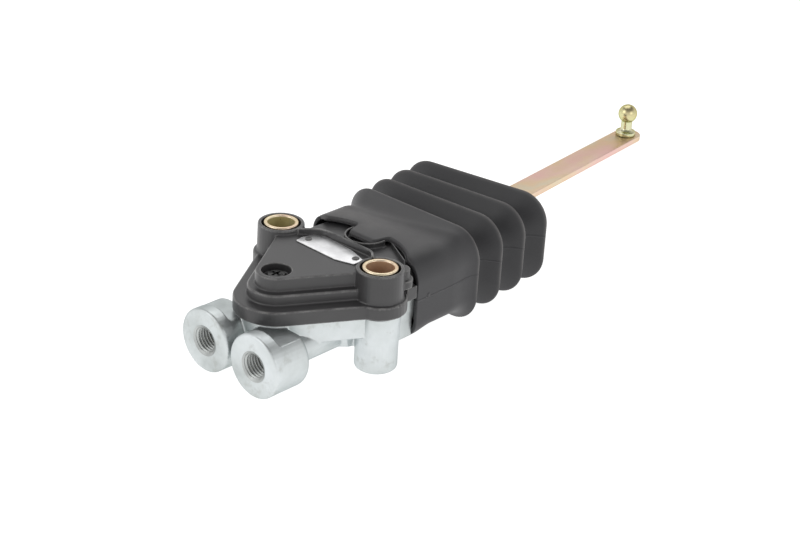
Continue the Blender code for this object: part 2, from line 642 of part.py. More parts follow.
def label_plate():
    """Bare silver plate across the deck, held by the two melted pins."""
    silver = material("label_silver", (0.80, 0.80, 0.81), 0.35, 0.6)
    chamfer = (LABEL_BACK_Y - LABEL_FRONT_Y) / 3
    outline = [(LABEL_LEFT + chamfer, LABEL_FRONT_Y), (LABEL_RIGHT, LABEL_FRONT_Y + LABEL_RISE),
               (LABEL_RIGHT, LABEL_BACK_Y - chamfer), (LABEL_RIGHT - chamfer / 2, LABEL_BACK_Y),
               (LABEL_LEFT + chamfer * 1.2, LABEL_BACK_Y), (LABEL_LEFT, LABEL_BACK_Y - chamfer * 1.2)]
    low = DECK_TOP + FACE_GAP
    plate = prism("label_plate", outline, low, low + LABEL_THICKNESS, silver)
    for x, y in (PIN_LEFT, PIN_RIGHT):
        combine(plate, rod("label_hole", PIN_RADIUS + GAP, low - GAP, low + LABEL_THICKNESS + GAP, (x, y, 0),
                           steps=16), "DIFFERENCE")
    return plate


# Lever and what turns with it
def lever():
    """Flat steel strip with two round ends, from the rocker out to the ball stud."""
    steel = material("yellow_chromate_lever", (0.80, 0.66, 0.50), 0.3, 1.0)
    half = LEVER_WIDTH / 2
    outline = (arc((0, 0), half, pi, 2 * pi, 12)
               + arc((0, BALL_REACH + LEVER_OVERHANG), half, 0, pi, 12))
    strip = prism("lever", outline, LEVER_LOW, LEVER_TOP, steel)
    combine(strip, turn_to_lever(rod("lever_pin_hole", PIVOT_PIN_RADIUS + RUN_GAP, LEVER_LOW - GAP,
                                     LEVER_TOP + GAP, (0, 0, 0))), "DIFFERENCE")
    holes = [(RIVET_FIRST, RIVET_RADIUS), (RIVET_FIRST + RIVET_PITCH, RIVET_RADIUS), (BALL_REACH, TAIL_RADIUS)]
    for along, radius in holes:
        combine(strip, turn_to_lever(rod("lever_hole", radius + RUN_GAP, LEVER_LOW - GAP, LEVER_TOP + GAP,
                                         (0, along, 0), steps=24)), "DIFFERENCE")
    return turn_to_lever(strip)


def ball_stud():
    """Turned ball on a neck and a collar, riveted through the lever's end."""
    zinc = material("yellow_zinc_stud", (0.78, 0.68, 0.40), 0.18, 1.0)
    low = LEVER_LOW - FACE_GAP
    seat = LEVER_TOP + FACE_GAP
    collar_top = seat + COLLAR_HEIGHT
    edge = EDGE_ROUND
    neck_angle = asin(NECK_RADIUS / BALL_RADIUS)
    ball = arc((0, BALL_Z), BALL_RADIUS, -pi / 2 + neck_angle, pi / 2, 12)
    profile = [(0, low - TAIL_HEAD_HEIGHT), (TAIL_HEAD - edge, low - TAIL_HEAD_HEIGHT), (TAIL_HEAD, low - edge / 2),
               (TAIL_HEAD, low), (TAIL_RADIUS, low), (TAIL_RADIUS, seat), (COLLAR_RADIUS, seat),
               (COLLAR_RADIUS, collar_top - edge), (COLLAR_RADIUS - edge, collar_top),
               (NECK_RADIUS + edge, collar_top + edge / 2), (NECK_RADIUS, collar_top + 2 * edge)]
    profile += ball[:-1] + [(0, BALL_Z + BALL_RADIUS)]
    return turn_to_lever(turned("ball_stud", [(r, h) for r, h in profile], (0, BALL_REACH, 0), zinc, steps=32))


def rocker():
    """Hub on the pivot pin with two arms that push the tappets and a pad under the lever."""
    steel = material("sintered_steel_rocker", (0.36, 0.36, 0.37), 0.5, 0.9)
    neck = asin(ARM_HALF / NOSE_RADIUS)
    outline = (arc((NOSE_ARM, 0), NOSE_RADIUS, neck - pi, pi - neck, 16)
               + arc((-NOSE_ARM, 0), NOSE_RADIUS, neck, 2 * pi - neck, 16))
    body = prism("rocker", outline, ROCKER_LOW, ARM_TOP, steel)
    top = LEVER_LOW - FACE_GAP
    combine(body, turn_to_lever(rod("hub", HUB_RADIUS, ROCKER_LOW - FACE_GAP, top, (0, 0, 0))), "UNION")
    combine(body, turn_to_lever(box("pad", (-PAD_HALF, -NOSE_RADIUS / 3, ARM_TOP - GAP),
                                    (PAD_HALF, PAD_LENGTH, top - FACE_GAP))), "UNION")
    for i in range(2):
        combine(body, turn_to_lever(rod("rivet_hole", RIVET_RADIUS + RUN_GAP, ARM_TOP - 2 * GAP, top + GAP,
                                        (0, RIVET_FIRST + i * RIVET_PITCH, 0), steps=20)), "DIFFERENCE")
    combine(body, turn_to_lever(rod("hub_bore", PIVOT_PIN_RADIUS + RUN_GAP, ROCKER_LOW - GAP, top + GAP,
                                    (0, 0, 0), steps=36)), "DIFFERENCE")
    return turn_to_lever(body)


def rivets():
    """Two rivets that hold the lever on the rocker's pad."""
    steel = material("rivet_steel", (0.62, 0.60, 0.55), 0.35, 1.0)
    low = ARM_TOP - GAP - FACE_GAP
    high = LEVER_TOP + FACE_GAP
    for i, name in enumerate(("lever_rivet_front", "lever_rivet_rear")):
        profile = [(0, low - RIVET_HEAD_HEIGHT), (0.7 * RIVET_HEAD, low - RIVET_HEAD_HEIGHT), (RIVET_HEAD, low),
                   (RIVET_RADIUS, low), (RIVET_RADIUS, high), (RIVET_HEAD, high),
                   (0.7 * RIVET_HEAD, high + RIVET_HEAD_HEIGHT), (0, high + RIVET_HEAD_HEIGHT)]
        turn_to_lever(turned(name, profile, (0, RIVET_FIRST + i * RIVET_PITCH, 0), steel, steps=20))


def pivot():
    """Pivot pin that turns in two bushes, held up by a circlip over the roof."""
    ground = material("ground_steel_pin", (0.55, 0.55, 0.56), 0.2, 1.0)
    bronze = material("bronze_bush", (0.62, 0.42, 0.20), 0.3, 1.0)
    spring = material("spring_steel", (0.20, 0.20, 0.21), 0.35, 1.0)
    upper_end = ROOF_TOP + FACE_GAP
    clip_low = upper_end + GAP
    groove_low, groove_high = clip_low - FACE_GAP, clip_low + CLIP_THICKNESS + FACE_GAP
    profile = [(0, PIVOT_PIN_LOW), (PIVOT_PIN_RADIUS, PIVOT_PIN_LOW), (PIVOT_PIN_RADIUS, groove_low),
               (CLIP_GROOVE, groove_low), (CLIP_GROOVE, groove_high), (PIVOT_PIN_RADIUS, groove_high),
               (PIVOT_PIN_RADIUS, PIVOT_PIN_TOP), (0, PIVOT_PIN_TOP)]
    turn_to_lever(turned("pivot_pin", profile, (0, 0, 0), ground))
    for name, low, high in (("pivot_bush_lower", PIVOT_PIN_LOW, ROOM_LOW),
                            ("pivot_bush_upper", ROOM_TOP + FACE_GAP, upper_end)):
        ring = [(PIVOT_PIN_RADIUS + RUN_GAP, low), (BUSH_RADIUS, low), (BUSH_RADIUS, high),
                (PIVOT_PIN_RADIUS + RUN_GAP, high)]
        turned(name, ring, (0, PIVOT_Y, 0), bronze)
    half_gap = radians(28)
    outline = (arc((0, 0), CLIP_RADIUS, pi / 2 + half_gap, 2.5 * pi - half_gap, 26)
               + arc((0, 0), CLIP_GROOVE + RUN_GAP, 2.5 * pi - half_gap, pi / 2 + half_gap, 26))
    turn_to_lever(prism("pivot_circlip", outline, clip_low, clip_low + CLIP_THICKNESS, spring))


# Valve pieces behind each port
def valve_seat(side, name):
    """Brass insert with a small hole that the tappet's tip opens and closes."""
    brass = material("brass_seat", (0.75, 0.58, 0.28), 0.25, 1.0)
    flange_end = SEAT_FLANGE_THICKNESS
    profile = [(SEAT_HOLE, 0), (SEAT_FLANGE, 0), (SEAT_FLANGE, flange_end), (SEAT_BODY, flange_end),
               (SEAT_BODY, SEAT_LENGTH), (SEAT_HOLE, SEAT_LENGTH)]
    return turned(name, profile, (side * PORT_X, seat_front_y(), PORT_Z), brass, axis="Y", steps=28)


def seat_step_y():
    """Where the seat bore ends and the spring chamber starts."""
    return PORT_FACE_Y + THREAD_DEPTH + SEAT_BORE_DEPTH


def seat_front_y():
    """Front face of the seat insert, with its O-ring between the flange and the step."""
    return seat_step_y() - 2 * O_RING_SECTION - 2 * FACE_GAP - SEAT_FLANGE_THICKNESS


def seat_o_ring(side, name):
    """O-ring round the insert's body, behind its flange."""
    rubber = material("o_ring_rubber", (0.02, 0.02, 0.02), 0.6, 0.0)
    ring_y = seat_step_y() - FACE_GAP - O_RING_SECTION
    mean = SEAT_BODY + FACE_GAP + O_RING_SECTION
    profile = circle((mean, 0), O_RING_SECTION, 8)
    return turned(name, profile, (side * PORT_X, ring_y, PORT_Z), rubber, axis="Y", steps=24)


def tappet_head_y(side):
    """Rear end of a tappet, just in front of the rocker's nose."""
    return PIVOT_Y + side * NOSE_ARM * sin(REST_ANGLE) - NOSE_RADIUS - GAP


def tappet(side, name):
    """Plunger with a collar for its spring and a thin tip towards the seat."""
    steel = material("hardened_tappet", (0.50, 0.50, 0.51), 0.25, 1.0)
    shift = tappet_head_y(side) - tappet_head_y(0)
    collar = TAPPET_COLLAR_Y + shift
    front = collar - TAPPET_TIP_LENGTH
    edge = EDGE_ROUND
    profile = [(0, front), (TAPPET_TIP_RADIUS - edge, front), (TAPPET_TIP_RADIUS, front + edge),
               (TAPPET_TIP_RADIUS, collar), (TAPPET_COLLAR, collar), (TAPPET_COLLAR, collar + TAPPET_COLLAR_THICKNESS),
               (TAPPET_RADIUS, collar + TAPPET_COLLAR_THICKNESS), (TAPPET_RADIUS, tappet_head_y(side) - edge / 2),
               (TAPPET_RADIUS - edge / 2, tappet_head_y(side)), (0, tappet_head_y(side))]
    return turned(name, profile, (side * PORT_X, 0, PORT_Z), steel, axis="Y", steps=28)


def tappet_spring(side, name):
    """Coil spring from the seat insert to the tappet's collar, with its centre line a helix."""
    wire = material("spring_wire", (0.45, 0.45, 0.46), 0.3, 1.0)
    start = seat_front_y() + SEAT_LENGTH + SPRING_WIRE + GAP
    end = TAPPET_COLLAR_Y + tappet_head_y(side) - tappet_head_y(0) - SPRING_WIRE - GAP
    per_turn = 12
    count = SPRING_TURNS * per_turn + 1
    curve = bpy.data.curves.new(name, "CURVE")
    curve.dimensions = "3D"
    curve.bevel_depth = SPRING_WIRE
    curve.bevel_resolution = 1
    curve.use_fill_caps = True
    line = curve.splines.new("POLY")
    line.points.add(count - 1)
    for i in range(count):
        turn = 2 * pi * i / per_turn
        line.points[i].co = (side * PORT_X + SPRING_RADIUS * cos(turn), start + (end - start) * i / (count - 1),
                             PORT_Z + SPRING_RADIUS * sin(turn), 1.0)
    curve.materials.append(wire)
    made = bpy.data.objects.new(name, curve)
    bpy.context.scene.collection.objects.link(made)
    return made


# Bellows
def bent(x, along, z):
    """Places a point along the bellows. The neck leaves the housing straight, its middle comes
    over to the lever's line by the first crest, and the folds turn further one after the other."""
    share = min(max((along - NECK_STRAIGHT) / (FOLD_FIRST - NECK_STRAIGHT), 0.0), 1.0)
    shift = along * tan(REST_ANGLE) * share * share * (3 - 2 * share)
    last = FOLD_FIRST + (FOLD_COUNT - 1) * FOLD_PITCH
    turn = FOLD_TURN * min(max((along - FOLD_FIRST) / (last - FOLD_FIRST), 0.0), 1.0)
    if along > last:
        turn += (1.0 - FOLD_TURN) * min((along - last) / (CUFF_START - last), 1.0)
    angle = REST_ANGLE * turn
    return (x * cos(angle) - shift, PIVOT_Y + along + x * sin(angle), z)


def front_edge(x, z, top, corner):
    """How far the mouth's edge lies behind its plain place at a point: two curved cut-outs on
    the top side, with a round tongue between them that reaches forward."""
    if z < top - 0.6 * corner:
        return 0.0
    reach = abs(x - TONGUE_X)
    if reach < TONGUE_RADIUS:
        return TONGUE_Y - sqrt(TONGUE_RADIUS ** 2 - reach ** 2) - NECK_START_Y
    if reach < CUT_INNER:
        share = (reach - TONGUE_RADIUS) / (CUT_INNER - TONGUE_RADIUS)
        return TONGUE_Y + share * (CUT_Y - TONGUE_Y) - NECK_START_Y
    share = min(1.0, (reach - CUT_INNER) / (CUT_OUTER - CUT_INNER))
    return (1 - share * share) * (CUT_Y - NECK_START_Y)


def ring_points(half, low, top, corner):
    """Section of the bellows: a rounded rectangle with a fixed number of points,
    closer together on the top side where the mouth is cut out."""
    corner = min(corner, half * 0.98, (top - low) * 0.49)
    steps = 4
    points = []
    sides = [((half - corner, top - corner), 0, 40), ((-half + corner, top - corner), pi / 2, 3),
             ((-half + corner, low + corner), pi, 5), ((half - corner, low + corner), 1.5 * pi, 3)]
    for k, (centre, start, straight) in enumerate(sides):
        rounding = arc(centre, corner, start, start + pi / 2, steps)
        points += rounding
        (nx, nz), nstart = sides[(k + 1) % 4][0], sides[(k + 1) % 4][1]
        following = arc((nx, nz), corner, nstart, nstart + pi / 2, steps)[0]
        last = rounding[-1]
        for i in range(1, straight):
            points.append((last[0] + (following[0] - last[0]) * i / straight,
                           last[1] + (following[1] - last[1]) * i / straight))
    return points


def bellows_stations():
    """Sections along the bellows: the mouth, a neck that flares to the first crest, the folds,
    and a closing cone with a cuff on the lever. Each is (along, half, low, top, corner)."""
    mouth = NECK_START_Y - PIVOT_Y

    def flare(along, share):
        return (along,
                MOUTH_HALF + share * (CREST_HALF - MOUTH_HALF),
                MOUTH_LOW + share * (CREST_LOW - MOUTH_LOW),
                MOUTH_TOP + share * (CREST_TOP - MOUTH_TOP),
                MOUTH_CORNER + share * (CREST_CORNER - MOUTH_CORNER))

    straight = NECK_STRAIGHT - mouth
    rise = FOLD_FIRST - NECK_STRAIGHT
    stations = [flare(mouth + straight * i / 4, 0.0) for i in range(5)]
    stations += [flare(NECK_STRAIGHT + rise * i / 6, (i / 6) ** 1.8) for i in range(1, 6)]
    shape = [(-0.05, 0.07), (0.0, 0.0), (0.05, 0.07), (0.2, 0.55), (0.5, 1.0), (0.8, 0.55)]
    for fold in range(FOLD_COUNT):
        crest = FOLD_FIRST + fold * FOLD_PITCH
        last = fold == FOLD_COUNT - 1
        for place, depth in shape[:3] if last else shape:
            inward = depth * FOLD_DEPTH
            stations.append((crest + place * FOLD_PITCH, CREST_HALF - inward, CREST_LOW + inward,
                             CREST_TOP - inward, CREST_CORNER - inward * 0.4))
    cuff_mid = LEVER_LOW + LEVER_THICKNESS / 2
    cuff = (CUFF_HALF, cuff_mid - CUFF_HEIGHT / 2, cuff_mid + CUFF_HEIGHT / 2, CUFF_CORNER)
    end = stations[-1]
    for share, close in ((0.35, 0.40), (0.75, 0.80), (1.0, 1.0)):
        along = end[0] + share * (CUFF_START - end[0])
        stations.append((along, *[a + close * (b - a) for a, b in zip(end[1:], cuff)]))
    stations.append((CUFF_START + CUFF_LENGTH, *cuff))
    return stations


def bellows():
    """Rubber bellows: an open shell from the housing's spigot to the lever."""
    rubber = material("bellows_rubber", (0.028, 0.028, 0.030), 0.62, 0.0)
    bm = bmesh.new()
    shells = []
    wall = BELLOWS_WALL
    for inset in (0.0, wall):
        rings = []
        for index, (along, half, low, top, corner) in enumerate(bellows_stations()):
            ring = []
            outline = ring_points(half - inset, low + inset, top - inset, max(corner - inset, wall / 4))
            outer = ring_points(half, low, top, corner)
            fade = max(0.0, 1.0 - index * 0.3)
            for (x, z), (ox, oz) in zip(outline, outer):
                ring.append(bm.verts.new(bent(x, along + fade * front_edge(ox, oz, top, corner), z)))
            rings.append(ring)
        shells.append(rings)
    count = len(shells[0][0])
    for rings in shells:
        for first, second in zip(rings, rings[1:]):
            for i in range(count):
                j = (i + 1) % count
                bm.faces.new((first[i], first[j], second[j], second[i]))
    for end in (0, -1):
        outer, inner = shells[0][end], shells[1][end]
        for i in range(count):
            j = (i + 1) % count
            bm.faces.new((outer[i], outer[j], inner[j], inner[i]))
    return add_object("bellows", bm, rubber)


housing()
gasket()
cover()
cover_screw()
sleeves()
label_plate()
lever()
ball_stud()
rocker()
rivets()
pivot()
for side, word in ((-1, "left"), (1, "right")):
    valve_seat(side, "valve_seat_" + word)
    seat_o_ring(side, "seat_o_ring_" + word)
    tappet(side, "tappet_" + word)
    tappet_spring(side, "tappet_spring_" + word)
bellows()
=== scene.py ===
import json
from math import pi, radians, tan

import bmesh
import bpy
import numpy as np
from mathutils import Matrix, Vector


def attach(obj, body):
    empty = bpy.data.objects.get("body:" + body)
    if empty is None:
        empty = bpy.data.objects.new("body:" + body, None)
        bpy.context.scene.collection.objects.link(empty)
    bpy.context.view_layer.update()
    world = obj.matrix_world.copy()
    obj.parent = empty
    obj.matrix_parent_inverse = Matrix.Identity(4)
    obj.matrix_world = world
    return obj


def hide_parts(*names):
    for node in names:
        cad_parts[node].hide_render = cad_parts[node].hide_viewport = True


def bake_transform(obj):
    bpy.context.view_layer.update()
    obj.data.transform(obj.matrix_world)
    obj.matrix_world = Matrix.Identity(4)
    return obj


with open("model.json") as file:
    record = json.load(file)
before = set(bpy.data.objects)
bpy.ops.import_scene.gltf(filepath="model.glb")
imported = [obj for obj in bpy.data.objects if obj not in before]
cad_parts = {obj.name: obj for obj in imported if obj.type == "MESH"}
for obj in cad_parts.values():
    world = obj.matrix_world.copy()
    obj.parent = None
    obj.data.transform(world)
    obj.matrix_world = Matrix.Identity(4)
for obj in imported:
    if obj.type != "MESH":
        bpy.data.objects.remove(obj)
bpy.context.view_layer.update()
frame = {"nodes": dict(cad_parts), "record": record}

# Air suspension levelling valve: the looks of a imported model.
# Metres, +Z up, +Y from the ports to the lever's ball. The floor lies under the posts at z = -9 mm.

nodes = frame["nodes"]
mm = 0.001
body = "valve_body"
leverBody = "swinging_lever"
boltX = 30 * mm     # from the middle to each bolt's axis
mergeGap = 2e-6     # points closer than this are one point


# Keeps one value from 0 to 1 per point, which the plastic and the rubber show as pale marks: partly wear and
# dust, partly painted highlight and sheen.
def keepWearAndHighlight(mesh, wearAndHighlight):
    marks = mesh.attributes.new("wearAndHighlight", "FLOAT", "POINT")
    marks.data.foreach_set("value", wearAndHighlight.astype(np.float32).ravel())


# Makes one object from an array of points and an array of quads, closes seams and poles, points
# the faces outwards and lets it ride on a body.
def meshPiece(name, points, faces, material, rides=body, sharp=35, replaces=(), wearAndHighlight=None):
    mesh = bpy.data.meshes.new(name)
    mesh.from_pydata(np.asarray(points, float).reshape(-1, 3), [], np.asarray(faces, int).tolist())
    if wearAndHighlight is not None:
        keepWearAndHighlight(mesh, wearAndHighlight)
    work = bmesh.new()
    work.from_mesh(mesh)
    bmesh.ops.remove_doubles(work, verts=work.verts, dist=mergeGap)
    bmesh.ops.dissolve_degenerate(work, edges=work.edges, dist=mergeGap / 2)
    bmesh.ops.recalc_face_normals(work, faces=work.faces)
    work.to_mesh(mesh)
    work.free()
    mesh.shade_smooth()
    mesh.set_sharp_from_angle(angle=radians(sharp))
    return placed(name, mesh, material, rides, replaces)


# Puts a finished mesh into the scene with its material and its body.
def placed(name, mesh, material, rides, replaces):
    piece = bpy.data.objects.new(name, mesh)
    bpy.context.scene.collection.objects.link(piece)
    mesh.materials.clear()
    mesh.materials.append(material)
    if rides:
        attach(piece, rides)
    if replaces:
        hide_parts(*replaces)
    return piece


dressing = {
    "flatAngle": radians(0.6),      # faces that differ by less than this are one face
    "sharpAngle": radians(32),
    "soften": 0.5,                  # how far each round moves a point to its neighbours' middle
    "flatWeight": 80,
    "wearAndHighlight": (250, 750),             # curvature in 1/m at which the pale edge mark, worn edges with a painted highlight, starts, and at which it is full
}


# Marks the outward edges of a mesh: curvature at a point is -2 mean(n . d / |d|^2) over the edges d
# that leave it, and the mark grows from nothing to full between two curvatures.
# The plastic shows this mark as paler edges: partly wear, partly a painted highlight.
def markEdges(mesh):
    count = len(mesh.vertices)
    place, normal = np.empty(count * 3), np.empty(count * 3)
    ends = np.empty(len(mesh.edges) * 2, int)
    mesh.vertices.foreach_get("co", place)
    mesh.vertex_normals.foreach_get("vector", normal)
    mesh.edges.foreach_get("vertices", ends)
    place, normal, ends = place.reshape(-1, 3), normal.reshape(-1, 3), ends.reshape(-1, 2)
    total, links = np.zeros(count), np.zeros(count)
    for a, b in ((0, 1), (1, 0)):
        step = place[ends[:, b]] - place[ends[:, a]]
        bend = -2 * (normal[ends[:, a]] * step).sum(1) / (step ** 2).sum(1)
        total += np.bincount(ends[:, a], bend, count)
        links += np.bincount(ends[:, a], minlength=count)
    start, full = dressing["wearAndHighlight"]
    keepWearAndHighlight(mesh, np.clip((total / np.maximum(links, 1) - start) / (full - start), 0, 1))


# A smooth copy of a CAD node: its loose triangles are merged, and with a voxel size the skin is
# rebuilt on a grid and relaxed, which rounds every edge as a casting or a moulding has it. Of the
# grid's faces, the share kept stays.
def dressed(name, node, material, voxel=0.0, relax=0, kept=1.0):
    mesh = nodes[node].data.copy()
    work = bmesh.new()
    work.from_mesh(mesh)
    bmesh.ops.remove_doubles(work, verts=work.verts, dist=mergeGap)
    if not voxel:
        bmesh.ops.dissolve_limit(work, angle_limit=dressing["flatAngle"], verts=work.verts, edges=work.edges)
    work.to_mesh(mesh)
    work.free()
    if voxel:
        draft = bpy.data.objects.new(name + "Draft", mesh)
        bpy.context.scene.collection.objects.link(draft)
        grid = draft.modifiers.new("grid", "REMESH")
        grid.mode = "VOXEL"
        grid.voxel_size = voxel
        soften = draft.modifiers.new("soften", "SMOOTH")
        soften.factor = dressing["soften"]
        soften.iterations = relax
        thin = draft.modifiers.new("thin", "DECIMATE")      # wide flats need fewer faces than rims
        thin.ratio = kept
        evaluated = draft.evaluated_get(bpy.context.evaluated_depsgraph_get())
        mesh = bpy.data.meshes.new_from_object(evaluated)
        bpy.data.objects.remove(draft, do_unlink=True)
        mesh.name = name
        markEdges(mesh)
    mesh.shade_smooth()
    if voxel:
        return placed(name, mesh, material, body, (node,))
    mesh.set_sharp_from_angle(angle=dressing["sharpAngle"])
    piece = placed(name, mesh, material, body, (node,))
    weigh = piece.modifiers.new("flats", "WEIGHTED_NORMAL")     # wide faces stay flat beside rounded rims
    weigh.keep_sharp = True
    weigh.weight = dressing["flatWeight"]
    return piece


# Quads between neighbours on a grid of rows by columns. The columns close round, and the rows
# where asked.
def gridFaces(rows, columns, aroundRows=False):
    i = np.arange(rows if aroundRows else rows - 1)
    a, b = np.meshgrid(i, np.arange(columns), indexing="ij")
    c, d = (a + 1) % rows, (b + 1) % columns
    return np.stack([a * columns + b, a * columns + d, c * columns + d, c * columns + b], -1).reshape(-1, 4)


# Rounds each corner of an open profile: two points at a distance from the corner, and never past
# the middle of a side, are joined by a parabola (1-t)^2 A + 2t(1-t) B + t^2 C, where B is the corner.
def softened(profile, radius, steps=5):
    p = np.asarray(profile, float)
    before, corner, after = p[:-2], p[1:-1], p[2:]
    toBefore, toAfter = before - corner, after - corner
    lengthBefore = np.linalg.norm(toBefore, axis=1, keepdims=True)
    lengthAfter = np.linalg.norm(toAfter, axis=1, keepdims=True)
    a = corner + toBefore / lengthBefore * np.minimum(radius, lengthBefore * 0.49)
    c = corner + toAfter / lengthAfter * np.minimum(radius, lengthAfter * 0.49)
    t = np.linspace(0, 1, steps + 1)[None, :, None]
    curve = (1 - t) ** 2 * a[:, None] + 2 * t * (1 - t) * corner[:, None] + t ** 2 * c[:, None]
    return np.vstack([p[:1], curve.reshape(-1, 2), p[-1:]])


# Surface of revolution about an upright axis: x = r cos a, y = r sin a and z = height, for each
# point (r, height) of the profile and each angle a.
def turned(profile, centre, steps):
    p = np.asarray(profile, float)
    a = np.linspace(0, 2 * pi, steps, endpoint=False)
    x = p[:, :1] * np.cos(a)
    y = p[:, :1] * np.sin(a)
    points = np.stack([x, y, np.broadcast_to(p[:, 1:], x.shape)], -1)
    return points.reshape(-1, 3) + np.asarray(centre, float), gridFaces(len(p), steps)


# The same for a profile that comes back to its first point: that point is kept once and the
# surface closes on itself.
def turnedRing(profile, x, steps):
    points, _ = turned(profile[:-1], (x, 0, 0), steps)
    return points, gridFaces(len(profile) - 1, steps, aroundRows=True)


# Turns points about an upright axis at the pivot by the lever's resting angle:
# x' = x cos a - y sin a, y' = x sin a + y cos a.
def atLever(points):
    a = lever["restAngle"]
    p = np.asarray(points, float)
    x = p[..., 0] * np.cos(a) - p[..., 1] * np.sin(a)
    y = p[..., 0] * np.sin(a) + p[..., 1] * np.cos(a) + lever["pivotY"]
    return np.stack([x, y, p[..., 2]], -1)


# Short way to lay out a material's nodes. Noise follows the object's own coordinates.
class Nodes:
    def __init__(self, name, colour, roughness, metallic=0.0, **more):
        self.material = bpy.data.materials.new(name)
        self.material.use_nodes = True
        self.tree = self.material.node_tree
        self.shader = self.tree.nodes["Principled BSDF"]
        self.shader.inputs["Base Color"].default_value = (*colour, 1)
        self.shader.inputs["Roughness"].default_value = roughness
        self.shader.inputs["Metallic"].default_value = metallic
        for key, value in more.items():
            self.shader.inputs[key].default_value = value
        self.place = self.tree.nodes.new("ShaderNodeTexCoord").outputs["Object"]

    def node(self, kind, links=None, **settings):
        made = self.tree.nodes.new("ShaderNode" + kind)
        for key, value in settings.items():
            setattr(made, key, value)
        for key, value in (links or {}).items():
            if isinstance(value, bpy.types.NodeSocket):
                self.tree.links.new(value, made.inputs[key])
            else:
                made.inputs[key].default_value = value
        return made

    def noise(self, scale, detail, roughness, stretch=(1, 1, 1)):
        place = self.node("Mapping", {"Vector": self.place, "Scale": stretch}).outputs[0]
        return self.node("TexNoise", {"Vector": place, "Scale": scale, "Detail": detail,
                                      "Roughness": roughness}).outputs["Fac"]

    def span(self, value, low, high, toLow, toHigh):
        return self.node("MapRange", {"Value": value, "From Min": low, "From Max": high,
                                      "To Min": toLow, "To Max": toHigh}).outputs["Result"]

    def ramp(self, value, stops):
        made = self.node("ValToRGB", {"Fac": value})
        ramp = made.color_ramp
        while len(ramp.elements) < len(stops):
            ramp.elements.new(0.5)
        for element, (place, colour) in zip(ramp.elements, stops):
            element.position = place
            element.color = (*colour, 1)
        return made.outputs["Color"]

    def mix(self, share, first, second):
        made = self.node("Mix", data_type="RGBA")
        for socket, value in ((made.inputs[0], share), (made.inputs[6], first), (made.inputs[7], second)):
            if isinstance(value, bpy.types.NodeSocket):
                self.tree.links.new(value, socket)
            else:
                socket.default_value = value if isinstance(value, (int, float)) else (*value, 1)
        return made.outputs[2]

    def maths(self, first, second, operation="ADD"):
        made = self.node("Math", operation=operation)
        for socket, value in zip(made.inputs, (first, second)):
            if isinstance(value, bpy.types.NodeSocket):
                self.tree.links.new(value, socket)
            else:
                socket.default_value = value
        return made.outputs[0]

    def bump(self, height, distance, strength):
        made = self.node("Bump", {"Height": height, "Distance": distance, "Strength": strength})
        if self.shader.inputs["Normal"].links:
            self.tree.links.new(self.shader.inputs["Normal"].links[0].from_socket, made.inputs["Normal"])
        self.tree.links.new(made.outputs[0], self.shader.inputs["Normal"])

    def set(self, key, socket):
        self.tree.links.new(socket, self.shader.inputs[key])


bellowsSizes = {
    "wall": 1.8 * mm,
    "mouthY": 20.4 * mm,
    "straight": 28.0 * mm,      # from the pivot to where the neck starts to flare
    "firstCrest": 44.6 * mm,
    "pitch": 16.6 * mm,
    "folds": 4,
    "turn": 1.3,                # the last crest turns this much further than the lever
    # half-width, low, top, then the corners: upper right, upper left, lower left, lower right
    "mouth": (34.3 * mm, -0.4 * mm, 35.2 * mm, 11.2 * mm, 9.0 * mm, 6.5 * mm, 6.5 * mm),
    "crest": (39.9 * mm, -8.9 * mm, 36.2 * mm, 14.0 * mm, 14.0 * mm, 14.0 * mm, 14.0 * mm),
    "cuff": (9.3 * mm, 10.7 * mm, 18.3 * mm, 2.8 * mm, 2.8 * mm, 2.8 * mm, 2.8 * mm),
    "lipRound": 2.0 * mm,
    "lipBulge": 0.4 * mm,
    "partingZ": 16.5 * mm,      # mould line
    "nub": (34.6 * mm, 27.2 * mm, 17.4 * mm),
    "foot": 1.7 * mm,           # the mouth's lower rim stands lower by this much
    "footEnd": 12 * mm,
    "footTop": 8 * mm,          # the foot fades out at this height
    "cuffStart": 111 * mm,
    "cuffLength": 9 * mm,
    "depth": 10 * mm,
    "crestRound": 0.11,
    "valleyPower": 0.38,
    "valleyCorner": 0.4,        # share of the fold's depth that its corners lose
    "flarePower": 2.3,
    "endPower": 0.9,
    "endBulge": 0.12,           # share of the closing end that follows t^3
    "neckSink": 1.1 * mm,       # the neck's top sinks by this much before the first crest
    "sinkAt": 31 * mm,
    "sinkLength": 6 * mm,
    "ridge": 0.45 * mm,
    "ridgeAt": 31.5 * mm,
    "ridgeSlant": 0.23,
    "ridgeWidth": 2.6 * mm,
    "ridgeLow": 33 * mm,        # the ridge and the rolled edge lie on the top, above this height
    "ridgeBlend": 1 * mm,
    "tongueX": -1.3 * mm,
    "tongueY": 24.4 * mm,
    "tongueRadius": 8 * mm,
    "cutInner": 8.7 * mm,
    "cutOuter": 28 * mm,
    "cutY": 28.7 * mm,
    "cutRound": 2 * mm,
    "topCorner": 0.6,           # share of a corner's height that still counts as the top side
    "leftBack": 4 * mm,
    "leftStart": 10 * mm,
    "leftLength": 20 * mm,
    "fadeLength": 20 * mm,      # the mouth's cut-outs fade out over this length of the neck
    "fadePower": 1.2,
}
# Pale marks on the rubber, partly dust and partly painted light: a painted highlight along each crest and a
# painted sheen on the neck's top.
bellowsDustAndSheen = {
    "line": 0.45 * mm,          # width of the pale line on each crest
    "lineHeight": 8 * mm,
    "lineLeast": 0.2,
    "patch": 0.6,
    "patchAt": 19 * mm,
    "patchSlant": 0.1,
    "patchLength": 13 * mm,
    "patchEdge": 0.75,
    "patchWidth": 60 * mm,
}
bellowsSteps = {
    "neck": 36, "flare": 30, "fold": 30, "end": 26, "cuff": 8,      # along the bellows
    "lip": 5, "corner": 15, "top": 90, "side": 26, "bottom": 36,    # round each section
    "crowdNeck": 1.8, "crowdFold": 0.8, "crowdEnd": 1.4,            # how much closer sections stand
}

